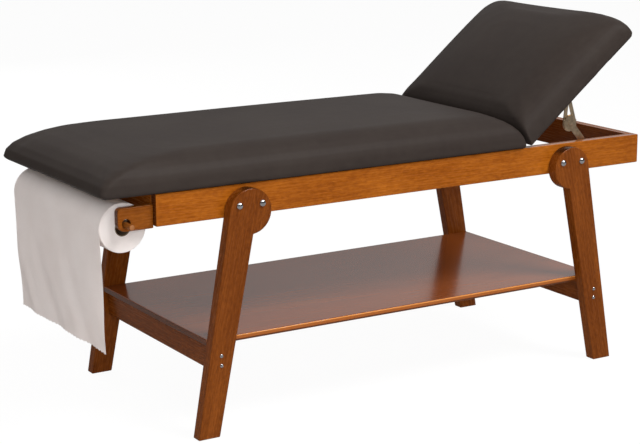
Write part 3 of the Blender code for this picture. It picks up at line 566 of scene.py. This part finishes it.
def settle(piece: Piece, material: Material, nodes: Sequence[str]) -> None:
    """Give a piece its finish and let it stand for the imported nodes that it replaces.

    Args:
        piece: The finished piece.
        material: Its finish.
        nodes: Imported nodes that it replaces, all on one body and in one material slot.
    """
    piece.data.materials.clear()
    piece.data.materials.append(material)
    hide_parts(*nodes)
    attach(piece, BODIES[nodes[0]])
    log.info("%s: %d vertices, rides on %s", piece.name, len(piece.data.vertices), BODIES[nodes[0]])


def object_of(shape: bmesh.types.BMesh, name: str) -> Piece:
    """Turn a shape into an object in the scene.

    Args:
        shape: The shape, which is freed.
        name: Name of the object and its mesh.

    Returns:
        The object.
    """
    mesh = bpy.data.meshes.new(name)
    shape.to_mesh(mesh)
    shape.free()
    return link(bpy.data.objects.new(name, mesh))


def merged_copy(node: str, name: str) -> Piece:
    """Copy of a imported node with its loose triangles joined.

    Args:
        node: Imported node.
        name: Name of the copy.

    Returns:
        The copy, in the scene.
    """
    shape = bmesh.new()
    shape.from_mesh(frame["nodes"][node].data)
    bmesh.ops.remove_doubles(shape, verts=shape.verts, dist=MERGE_DISTANCE)
    return object_of(shape, name)


def shade(mesh: bpy.types.Mesh, sharp_angle: float) -> None:
    """Shade a mesh smooth, apart from edges that bend more sharply than an angle."""
    mesh.shade_smooth()
    mesh.set_sharp_from_angle(angle=sharp_angle)


def plain_mesh(piece: Piece) -> None:
    """Turn a piece's modifiers into its mesh."""
    evaluated = piece.evaluated_get(bpy.context.evaluated_depsgraph_get())
    mesh = bpy.data.meshes.new_from_object(evaluated)
    piece.modifiers.clear()
    piece.data = mesh


@dataclass
class RigidPieces:
    """Packed rigid nodes that keep their shape and get smooth rounds and a finish."""

    smooth_angle: float = math.radians(32)

    def dress(self, node: str, material: Material) -> None:
        """Stand a smoothed copy in for one node.

        Args:
            node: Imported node.
            material: Its finish.
        """
        piece = merged_copy(node, f"{node}_finished")
        shade(piece.data, self.smooth_angle)
        weights = piece.modifiers.new("flat_faces_first", "WEIGHTED_NORMAL")
        weights.keep_sharp = True
        plain_mesh(piece)
        settle(piece, material, [node])

    def build(self) -> None:
        """Dress every rigid node of the table."""
        rail = RAIL_TIMBER.material(Grain.LENGTHWAYS)
        cross_rail = RAIL_TIMBER.material(Grain.CROSSWAYS)
        arm = ARM_TIMBER.material(Grain.LENGTHWAYS)
        stretcher = LEG_TIMBER.material(Grain.CROSSWAYS)
        legs = {"foot": LEG_TIMBER.material(Grain.FOOT_LEG), "head": LEG_TIMBER.material(Grain.HEAD_LEG)}
        steel = STEEL.material()
        for end in ENDS:
            self.dress(f"end_rail_{end}", cross_rail)
            self.dress(f"stretcher_{end}", stretcher)
            for side in SIDES:
                self.dress(f"leg_{end}_{side}", legs[end])
        for side in SIDES:
            self.dress(f"side_rail_{side}", rail)
            self.dress(f"holder_arm_{side}", arm)
        low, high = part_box("shelf")
        self.dress("shelf", SHELF_PLYWOOD.material(high.z, high.z - low.z))
        self.dress("holder_dowel", DOWEL_TIMBER.material(Grain.CROSSWAYS))
        self.dress("roll_core", CARDBOARD.material())
        for node in sorted(frame["nodes"]):
            if node.startswith(("stay_", "hinge_")):
                self.dress(node, steel)


class NodeTree(Nodes):
    """Geometry tree with named inputs that turns points into a plain mesh."""

    def __init__(self, name: str, values: Dict[str, Any]) -> None:
        """Start a tree.

        Args:
            name: Name of the tree.
            values: Name and value of each input after the points, among them the finish.
        """
        super().__init__(bpy.data.node_groups.new(name, "GeometryNodeTree"))
        sockets = self.tree.interface
        sockets.new_socket(name="Points", in_out="INPUT", socket_type="NodeSocketGeometry")
        self.values = {}
        for label, value in values.items():
            kind = INPUT_KINDS[type(value)]
            made = sockets.new_socket(name=label, in_out="INPUT", socket_type=kind)
            self.values[made.identifier] = value
        sockets.new_socket(name="Mesh", in_out="OUTPUT", socket_type="NodeSocketGeometry")
        self.entry = self.tree.nodes.new("NodeGroupInput")
        self.exit = self.tree.nodes.new("NodeGroupOutput")

    def given(self, label: str) -> Socket:
        """One of the tree's own inputs."""
        return Socket(self, self.entry.outputs[label])

    def carried(self, kind: str) -> Socket:
        """What each point carries."""
        return self.node("GeometryNodeInputNamedAttribute", {"Name": "carried"}, data_type=kind)

    def close(self, instance: Socket, turn: Socket, smooth: bool) -> None:
        """End the tree with a copy on each point, as real meshes in the given finish.

        Args:
            instance: What is copied.
            turn: Turn of each copy.
            smooth: Whether the copies are shaded smooth.
        """
        copies = {"Points": self.given("Points"), "Instance": instance, "Rotation": turn}
        placed = self.node("GeometryNodeInstanceOnPoints", copies)
        real = self.node("GeometryNodeRealizeInstances", {0: placed})
        shaded = self.node("GeometryNodeSetShadeSmooth", {"Geometry": real, "Shade Smooth": smooth})
        finish = {"Geometry": shaded, "Material": self.given("Finish")}
        self.feed(self.exit, {0: self.node("GeometryNodeSetMaterial", finish)})

    def scatter(self, name: str, places: Sequence[Vector], carried: np.ndarray) -> Piece:
        """Run the tree on points and keep the result as a mesh.

        Args:
            name: Name of the object.
            places: Where the points are.
            carried: Number or vector that each point carries.

        Returns:
            The object, in the scene.
        """
        mesh = bpy.data.meshes.new(name)
        mesh.from_pydata([tuple(place) for place in places], [], [])
        kind, field = ("FLOAT", "value") if carried.ndim == 1 else ("FLOAT_VECTOR", "vector")
        mesh.attributes.new("carried", kind, "POINT").data.foreach_set(field, carried.ravel())
        piece = link(bpy.data.objects.new(name, mesh))
        modifier = piece.modifiers.new("pattern", "NODES")
        modifier.node_group = self.tree
        for key, value in self.values.items():
            modifier[key] = value
        plain_mesh(piece)
        return piece


@dataclass
class DomedHeads:
    """Chrome heads of bolts or screws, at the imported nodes' places."""

    start: str
    radius: float
    height: float
    seat_sink: float = 0.0006
    segments: int = 32
    rings: int = 16

    def tree(self, chrome: Material) -> NodeTree:
        """Geometry tree that stands a half dome on each point.

        Args:
            chrome: Finish of the heads.

        Returns:
            The tree.
        """
        values = {"Radius": self.radius, "Height": self.height, "Finish": chrome}
        tree = NodeTree(f"{self.start}_domes", values)
        rounds = {"Segments": self.segments, "Rings": self.rings, "Radius": 1.0}
        ball = tree.node("GeometryNodeMeshUVSphere", rounds)
        block = tree.node("GeometryNodeMeshCube", {"Size": (4.0, 4.0, 2.0)})
        upper = tree.node("GeometryNodeTransform", {"Geometry": block, "Translation": UP})
        halves = {"Mesh 2": [ball, upper]}
        dome = tree.node("GeometryNodeMeshBoolean", halves, operation="INTERSECT", solver="EXACT")
        radius = tree.given("Radius")
        scale = tree.node("ShaderNodeCombineXYZ", {0: radius, 1: radius, 2: tree.given("Height")})
        head = tree.node("GeometryNodeTransform", {"Geometry": dome, "Scale": scale})
        outward = {"Vector": tree.carried("FLOAT_VECTOR")}
        tree.close(head, tree.node("FunctionNodeAlignRotationToVector", outward, axis="Z"), smooth=True)
        return tree

    def seat(self, node: str) -> Tuple[Vector, Vector]:
        """Where the head of a packed fastener sits.

        Args:
            node: Packed fastener.

        Returns:
            Middle of the seat, just under the leg's surface, and the way that it faces.
        """
        low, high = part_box(node)
        middle = (low + high) / 2
        side = 1.0 if middle.y > 0 else -1.0
        tip = high.y if side > 0 else low.y
        return Vector((middle.x, tip - side * (self.height - self.seat_sink), middle.z)), Vector((0, side, 0))

    def build(self, chrome: Material) -> None:
        """Make the heads.

        Args:
            chrome: Their finish.
        """
        nodes = sorted(node for node in frame["nodes"] if node.startswith(self.start))
        places, ways = zip(*[self.seat(node) for node in nodes])
        settle(self.tree(chrome).scatter(f"{self.start}_heads", places, np.array(ways)), chrome, nodes)


def hinge_turn(lift: float) -> Matrix:
    """Turn about the hinge line from flat to a lift, in the table's frame."""
    place = Matrix.Translation(HINGE)
    return place @ Matrix.Rotation(-lift, 4, "Y") @ place.inverted()


def flat_points(mesh: bpy.types.Mesh, lift: float) -> np.ndarray:
    """Places of a mesh's points when what carries them is laid flat."""
    back = hinge_turn(lift).inverted()
    return np.array([back @ vertex.co for vertex in mesh.vertices])


@dataclass
class Board:
    """Base board of a cushion, with its cover's margin stapled to the underside."""

    node: str
    lift: float
    staple_inset: float = 0.029
    staple_step: float = 0.034
    crown: float = 0.0095
    wire: float = 0.0007
    proud: float = 0.00022
    tilt: float = 0.12
    seed: int = 7

    def staple_tree(self, steel: Material) -> NodeTree:
        """Geometry tree that lays a staple on each point, a little askew.

        Args:
            steel: Finish of the staples.

        Returns:
            The tree.
        """
        sizes = {"Crown": self.crown, "Wire": self.wire, "Tilt": self.tilt}
        tree = NodeTree("staples", {**sizes, "Seed": self.seed, "Finish": steel})
        wire = tree.given("Wire")
        size = tree.node("ShaderNodeCombineXYZ", {0: tree.given("Crown"), 1: wire, 2: wire})
        staple = tree.node("GeometryNodeMeshCube", {"Size": size})
        tilt = tree.given("Tilt")
        draw = {2: tilt * -1.0, 3: tilt, "Seed": tree.given("Seed")}
        askew = tree.node("FunctionNodeRandomValue", draw, 1, data_type="FLOAT")
        turn = tree.node("ShaderNodeCombineXYZ", {2: tree.carried("FLOAT") + askew})
        tree.close(staple, turn, smooth=False)
        return tree

    def staple_places(self, low: np.ndarray, high: np.ndarray) -> List[Tuple[Vector, float]]:
        """Where staples go, along all four edges of the flat board.

        Args:
            low: Lowest corner of the flat board.
            high: Highest corner.

        Returns:
            Place and heading of each staple.
        """
        start = low + self.staple_inset
        end = high - self.staple_inset
        z = low[2] + self.wire / 2 - self.proud
        places = []
        for axis, heading in ((0, 0.0), (1, math.pi / 2)):
            count = round((end[axis] - start[axis]) / self.staple_step)
            for number in range(1, count):
                along = start[axis] + (end[axis] - start[axis]) * number / count
                for across in (start[1 - axis], end[1 - axis]):
                    x, y = (along, across) if axis == 0 else (across, along)
                    places.append((Vector((x, y, z)), heading))
        return places

    def build_staples(self, low: np.ndarray, high: np.ndarray, steel: Material) -> None:
        """Make the board's staples and let them ride with it.

        Args:
            low: Lowest corner of the flat board.
            high: Highest corner.
            steel: Finish of the staples.
        """
        places, headings = zip(*self.staple_places(low, high))
        staples = self.staple_tree(steel).scatter(f"{self.node}_staples", places, np.array(headings))
        staples.data.transform(hinge_turn(self.lift))
        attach(staples, BODIES[self.node])
        log.info("%s: %d staples", staples.name, len(places))

    def build(self, steel: Material) -> None:
        """Dress the board and staple it.

        Args:
            steel: Finish of the staples.
        """
        board = merged_copy(self.node, f"{self.node}_finished")
        flat = flat_points(board.data, self.lift)
        low, high = flat.min(axis=0), flat.max(axis=0)
        middle = (low + high) / 2
        half = (high - low) / 2
        layer = board.data.uv_layers.new(name="flat_map")
        for loop in board.data.loops:
            layer.data[loop.index].uv = (flat[loop.vertex_index] - middle)[:2]
        settle(board, BOARD_PLYWOOD.material(float(half[0]), float(half[1])), [self.node])
        self.build_staples(low, high, steel)


class Cover:
    """Averages over the neighbouring points of a mesh."""

    def __init__(self, mesh: bpy.types.Mesh) -> None:
        """Find each point's neighbours."""
        ends = np.empty(len(mesh.edges) * 2, dtype=np.int64)
        mesh.edges.foreach_get("vertices", ends)
        first, second = ends.reshape(-1, 2).T
        self.count = len(mesh.vertices)
        self.owner = np.concatenate((first, second))
        self.neighbour = np.concatenate((second, first))
        self.number = np.bincount(self.owner, minlength=self.count)

    def averaged(self, values: np.ndarray) -> np.ndarray:
        """Mean of the neighbours' values, column by column."""
        sums = [
            np.bincount(self.owner, weights=column[self.neighbour], minlength=self.count) / self.number
            for column in values.T
        ]
        return np.stack(sums, axis=1)

    def eased(self, values: np.ndarray, rounds: int, shares: Sequence[float]) -> np.ndarray:
        """Even out values over the mesh.

        Args:
            values: One row for each point.
            rounds: How many times to even out.
            shares: Steps of one round; a negative step gives back the size that the first takes.

        Returns:
            The evened values.
        """
        for _ in range(rounds):
            for share in shares:
                values = values + share * (self.averaged(values) - values)
        return values


@dataclass
class Cushion:
    """Upholstered pad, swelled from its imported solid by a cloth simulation."""

    node: str
    board: str
    name: str
    lift: float
    fill: float = 0.75
    voxel: float = 0.006
    shrink: float = 0.003
    pressure: float = 4.0
    cap: float = 0.004
    frames: int = 16
    facet_rounds: int = 6
    rise_rounds: int = 30
    press: float = 0.85
    press_reach: float = 0.36
    hold_reach: Tuple[float, float, float] = (1.6, 1.6, 0.6)

    def remeshed(self) -> Piece:
        """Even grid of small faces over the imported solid, laid flat and without its facets.

        A lifted pad's hinge end is filled out towards the hinge, where the two pads press on each other.

        Returns:
            The pad.
        """
        piece = merged_copy(self.node, self.name)
        piece.data.transform(hinge_turn(self.lift).inverted())
        remesh = piece.modifiers.new("grid", "REMESH")
        remesh.mode = "VOXEL"
        remesh.voxel_size = self.voxel
        plain_mesh(piece)
        places = Cover(piece.data).eased(points_of(piece.data), self.facet_rounds, (EASE_STEP, EASE_BACK))
        if self.lift:
            run = np.clip(places[:, 0] - HINGE[0], 0.0, self.press_reach)
            places[:, 0] -= self.press * run * (1.0 - run / self.press_reach) ** 2
        set_points(piece.data, places)
        return piece

    def swelled(self, piece: Piece, held: np.ndarray) -> np.ndarray:
        """Blow the pad up inside its cover.

        Args:
            piece: The pad, a little smaller than it ends up.
            held: Which points stay where they are.

        Returns:
            Places of the pad's points after the simulation.
        """
        group = piece.vertex_groups.new(name="held")
        group.add([int(index) for index in np.flatnonzero(held)], 1.0, "REPLACE")
        cloth = piece.modifiers.new("cover", "CLOTH")
        for key, value in CLOTH_SETTINGS.items():
            setattr(cloth.settings, key, value)
        cloth.settings.uniform_pressure_force = self.pressure
        cloth.settings.vertex_group_mass = group.name
        cloth.settings.effector_weights.gravity = 0.0
        cloth.collision_settings.use_collision = False
        scene = bpy.context.scene
        for number in range(1, self.frames + 1):
            scene.frame_set(number)
        plain_mesh(piece)
        piece.vertex_groups.clear()
        scene.frame_set(1)
        return points_of(piece.data)

    def swell(self, piece: Piece) -> None:
        """Let the cover bulge where the board doesn't hold it, evenly and no further than the cap."""
        start = points_of(piece.data)
        outward = np.empty(len(start) * 3)
        piece.data.vertices.foreach_get("normal", outward)
        outward = outward.reshape(-1, 3)
        corners = flat_points(frame["nodes"][self.board].data, self.lift)
        reach = np.array(self.hold_reach) * self.voxel
        inside = (start > corners.min(axis=0) - reach) & (start < corners.max(axis=0) + reach)
        held = np.all(inside, axis=1)
        free = np.where(held, 0.0, 1.0)[:, None]
        set_points(piece.data, start - outward * self.shrink * free)
        rise = ((self.swelled(piece, held) - start) * outward).sum(axis=1, keepdims=True)
        log.info("%s rises by %.1f to %.1f mm", piece.name, 1000 * rise.min(), 1000 * rise.max())
        capped = np.clip(rise, -self.cap, self.cap) * free
        even = Cover(piece.data).eased(capped, self.rise_rounds, (EASE_STEP,))
        set_points(piece.data, start + outward * even)

    def build(self, material: Material) -> None:
        """Make the pad and dress it.

        Args:
            material: Finish of its cover.
        """
        piece = self.remeshed()
        self.swell(piece)
        piece.data.transform(hinge_turn(self.lift))
        piece.data.shade_smooth()
        settle(piece, material, [self.node])


def points_of(mesh: bpy.types.Mesh) -> np.ndarray:
    """Places of a mesh's points as rows of X, Y and Z."""
    flat = np.empty(len(mesh.vertices) * 3)
    mesh.vertices.foreach_get("co", flat)
    return flat.reshape(-1, 3)


def set_points(mesh: bpy.types.Mesh, places: np.ndarray) -> None:
    """Move a mesh's points."""
    mesh.vertices.foreach_set("co", places.ravel())
    mesh.update()


def waves(terms: Sequence[Sequence[float]], at: float) -> float:
    """Sum of sine waves, each given by its size, rate and start."""
    return sum(size * math.sin(rate * at + start) for size, rate, start in terms)


@dataclass
class CouchRoll:
    """Wound paper roll and the loose length that hangs from it."""

    wound_sides: int = 120
    wound_sharp_angle: float = math.radians(40)
    core_gap: float = 0.0003
    rim_ease: float = 0.0016
    end_rings: int = 14
    ring_dips: Tuple[float, float] = (0.0001, 0.0005)
    start_turn: float = math.radians(75)
    sheet_thickness: float = 0.0005
    sheet_clearance: float = 0.0008
    sheet_step: float = 0.005
    sheet_sharp_angle: float = math.radians(50)
    paper_width: float = 0.600
    lean: float = 0.007
    lean_start: float = 0.45
    wave: float = 0.0036
    wave_count: float = 2.5
    wave_slant: float = 0.33
    wave_terms: Sequence = ((1.0, math.tau, 0.0), (0.35, math.tau * 2.3, 1.0))
    edge_sway: float = 0.0022
    sway_terms: Sequence = ((1.0, math.tau * 1.6, math.tau * 0.15),)
    bow: float = 0.007
    tear: float = 0.0012
    tear_power: int = 8
    tear_terms: Sequence = ((1.0, 310.0, 0.0), (0.6, 743.0, 1.3))

    def build(self) -> None:
        """Make the roll and its loose sheet."""
        paper = PAPER.material()
        self.build_wound(paper)
        self.build_sheet(paper)

    def build_wound(self, paper: Material) -> None:
        """Turned roll whose ends show the wound layers as shallow rings.

        Args:
            paper: Finish of the paper.
        """
        low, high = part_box("paper_roll")
        core_low, core_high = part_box("roll_core")
        centre = (low + high) / 2
        outer = (high.z - low.z) / 2
        inner = (core_high.z - core_low.z) / 2 + self.core_gap
        half = (high.y - low.y) / 2
        step = (outer - self.rim_ease - inner) / self.end_rings
        numbers = range(1, self.end_rings + 1)
        wound = [(inner + step * number, half - self.ring_dips[number % 2]) for number in numbers]
        profile = [(inner, half), *wound, (outer, half - self.rim_ease)]
        turns = [math.tau * number / self.wound_sides for number in range(self.wound_sides)]
        shape = bmesh.new()
        rings = []
        for radius, out in profile + [(radius, -out) for radius, out in reversed(profile)]:
            circle = [(radius * math.cos(turn), radius * math.sin(turn)) for turn in turns]
            rings.append([shape.verts.new((centre.x + x, out, centre.z + z)) for x, z in circle])
        for ring, following in zip(rings, rings[1:] + rings[:1]):
            for i in range(self.wound_sides):
                j = (i + 1) % self.wound_sides
                shape.faces.new((ring[i], ring[j], following[j], following[i]))
        bmesh.ops.recalc_face_normals(shape, faces=shape.faces)
        roll = object_of(shape, "wound_paper")
        shade(roll.data, self.wound_sharp_angle)
        settle(roll, paper, ["paper_roll"])

    def sheet_place(self, along: float, across: float, length: float, radius: float) -> Vector:
        """Place of a point of the loose sheet.

        Args:
            along: Distance from the sheet's start on the roll.
            across: Distance across the width from the middle.
            length: Whole length of the sheet.
            radius: Radius at which the sheet lies on the roll.

        Returns:
            The point, from the middle of the roll.
        """
        arc = radius * self.start_turn
        if along < arc:
            turn = math.pi - (arc - along) / radius
            return Vector((radius * math.cos(turn), across, radius * math.sin(turn)))
        drop = along - arc
        share = drop / (length - arc)
        bent = max(0.0, share - self.lean_start) / (1 - self.lean_start)
        shift = self.lean * bent ** 2 * (3 - 2 * bent)
        phase = self.wave_count * (across / self.paper_width + 0.5 + self.wave_slant * share)
        wave = self.wave * share * (1 + waves(self.wave_terms, phase))
        sway = self.edge_sway * share * waves(self.sway_terms, share) - self.bow * math.sin(math.pi * share)
        tear = self.tear * share ** self.tear_power * waves(self.tear_terms, across)
        return Vector((shift + wave - radius, across + sway, tear - drop))

    def build_sheet(self, paper: Material) -> None:
        """Loose length that follows the roll and hangs with shallow waves.

        Args:
            paper: Finish of the paper.
        """
        low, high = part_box("paper_sheet")
        roll_low, roll_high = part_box("paper_roll")
        centre = (roll_low + roll_high) / 2
        centre.y = 0.0
        radius = (roll_high.z - roll_low.z) / 2 + self.sheet_clearance
        width = high.y - low.y
        length = radius * self.start_turn + centre.z - low.z
        columns = round(width / self.sheet_step)
        rows = round(length / self.sheet_step)
        widths = [width * (column / columns - 0.5) for column in range(columns + 1)]
        shape = bmesh.new()
        grid = []
        for along in [length * row / rows for row in range(rows + 1)]:
            places = [centre + self.sheet_place(along, across, length, radius) for across in widths]
            grid.append([shape.verts.new(place) for place in places])
        for upper, lower in zip(grid, grid[1:]):
            for column in range(columns):
                shape.faces.new((upper[column], upper[column + 1], lower[column + 1], lower[column]))
        sheet = object_of(shape, "loose_paper")
        wall = sheet.modifiers.new("wall", "SOLIDIFY")
        wall.thickness = self.sheet_thickness
        wall.offset = 0.0
        plain_mesh(sheet)
        shade(sheet.data, self.sheet_sharp_angle)
        settle(sheet, paper, ["paper_sheet"])


@dataclass(frozen=True)
class Lamp:
    """Square soft lamp that faces the table."""

    name: str
    place: Place
    size: float
    power: float
    mirrored: bool = False

    def build(self, aim: Sequence[float]) -> None:
        """Stand the lamp and turn it.

        Args:
            aim: Where it points.
        """
        data = bpy.data.lights.new(self.name, "AREA")
        data.shape = "SQUARE"
        data.size = self.size
        data.energy = self.power
        lamp = link(bpy.data.objects.new(self.name, data))
        lamp.location = self.place
        way = Vector(aim) - Vector(self.place)
        lamp.rotation_euler = way.to_track_quat("-Z", "Y").to_euler()
        lamp.visible_glossy = self.mirrored


LAMPS = (
    Lamp("key_lamp", (2.2, -3.9, 6.0), size=2.8, power=365.0, mirrored=True),
    Lamp("front_lamp", (-2.4, -5.2, 2.0), size=2.6, power=140.0),
    Lamp("left_lamp", (-4.4, -1.0, 3.0), size=2.4, power=26.0),
    Lamp("back_lamp", (-0.5, 6.0, 3.0), size=5.0, power=110.0),
    Lamp("paper_lamp", (-4.0, -1.2, 0.5), size=1.6, power=4.0),
)


@dataclass
class Studio:
    """Plain pale floor, soft light and the camera."""

    image_width: float = 640.0
    focal_pixels: float = 1747.65
    sensor: float = 36.0
    camera_place: Place = (-2.7754, -4.4826, 1.6825)
    azimuth: float = math.radians(-31.3693)
    elevation: float = math.radians(12.9452)
    roll: float = math.radians(-0.2839)
    floor_size: float = 60.0
    floor_drop: float = 0.0006
    floor_tone: Colour = tone(206, 205, 204)
    floor_roughness: float = 0.9
    floor_cover: float = 0.88
    floor_glow: float = 1.08
    mirrored_cover: float = 0.80
    mirrored_glow: float = 0.22
    lamp_aim: Place = (0.0, 0.0, 0.55)
    ambient: float = 0.25
    ambient_tone: Colour = (1.0, 0.985, 0.975, 1.0)
    horizon: float = 0.06
    overhead_from: Limits = (0.45, 0.85)
    behind_from: Limits = (0.20, 0.70)
    behind_height: Limits = (0.17, 0.26)
    right_from: Limits = (0.36, 0.72)
    behind_share: float = 0.50
    right_share: float = 0.45

    def build_camera(self) -> None:
        """Stand the camera where the picture was taken from."""
        data = bpy.data.cameras.new("camera")
        data.sensor_fit = "HORIZONTAL"
        data.sensor_width = self.sensor
        data.lens = self.focal_pixels * self.sensor / self.image_width
        camera = link(bpy.data.objects.new("camera", data))
        turned = Matrix.Rotation(self.azimuth, 4, "Z")
        raised = Matrix.Rotation(math.pi / 2 - self.elevation, 4, "X")
        rolled = Matrix.Rotation(self.roll, 4, "Z")
        camera.matrix_world = Matrix.Translation(self.camera_place) @ turned @ raised @ rolled
        bpy.context.scene.camera = camera

    def build_floor(self) -> None:
        """Pale floor that looks white, keeps a faint shadow and is dim in mirrors."""
        half = self.floor_size / 2
        mesh = bpy.data.meshes.new("floor")
        corners = [(-half, -half), (half, -half), (half, half), (-half, half)]
        mesh.from_pydata([(x, y, -self.floor_drop) for x, y in corners], [], [(0, 1, 2, 3)])
        floor = link(bpy.data.objects.new("floor", mesh))
        shader = Shader("pale_floor")
        mesh.materials.append(shader.finish({
            "Base Color": self.floor_tone,
            "Roughness": self.floor_roughness,
            "Specular IOR Level": 0.0,
        }))
        shader.cover(shader.ray("Glossy") * self.mirrored_cover, shader.glow(self.mirrored_glow))
        shader.cover(shader.seen() * self.floor_cover, shader.glow(self.floor_glow))

    def build_world(self) -> None:
        """White surroundings to look at, and a soft even light; mirrors see them dimmer near the horizon."""
        shader = Shader("studio", world=True)
        bpy.context.scene.world = shader.finish({"Color": self.ambient_tone, "Strength": self.ambient})
        mirrored = shader.ray("Glossy")
        shader.cover(mirrored, shader.glow(self.horizon))
        way = shader.coordinates("Generated")
        height = shader.part(way, 2)
        right = shader.spread(shader.part(way, 0), *self.right_from)
        low_behind = shader.spread(height, *self.behind_height)
        behind = shader.spread(shader.part(way, 1), *self.behind_from) * low_behind
        overhead = shader.spread(height, *self.overhead_from)
        lit = overhead + behind * (right * self.right_share + self.behind_share)
        shader.cover(shader.seen() + mirrored * lit, shader.glow(1.0))

    def build(self) -> None:
        """Set the view, the floor and the light."""
        bpy.context.scene.view_settings.view_transform = "Standard"
        self.build_camera()
        self.build_floor()
        self.build_world()
        for lamp in LAMPS:
            lamp.build(self.lamp_aim)


def main() -> None:
    """Dress the table, piece by piece."""
    Studio().build()
    RigidPieces().build()
    chrome = CHROME.material()
    DomedHeads("leg_bolt", radius=0.0102, height=0.0076).build(chrome)
    DomedHeads("stretcher_screw", radius=0.0057, height=0.0030).build(chrome)
    leatherette = LEATHERETTE.material()
    steel = STEEL.material()
    for start, lift in (("main", 0.0), ("backrest", LIFT)):
        Board(f"{start}_board", lift).build(steel)
        Cushion(f"{start}_cushion", f"{start}_board", f"{start}_pad", lift).build(leatherette)
    CouchRoll().build()


if __name__ == "__main__":
    main()
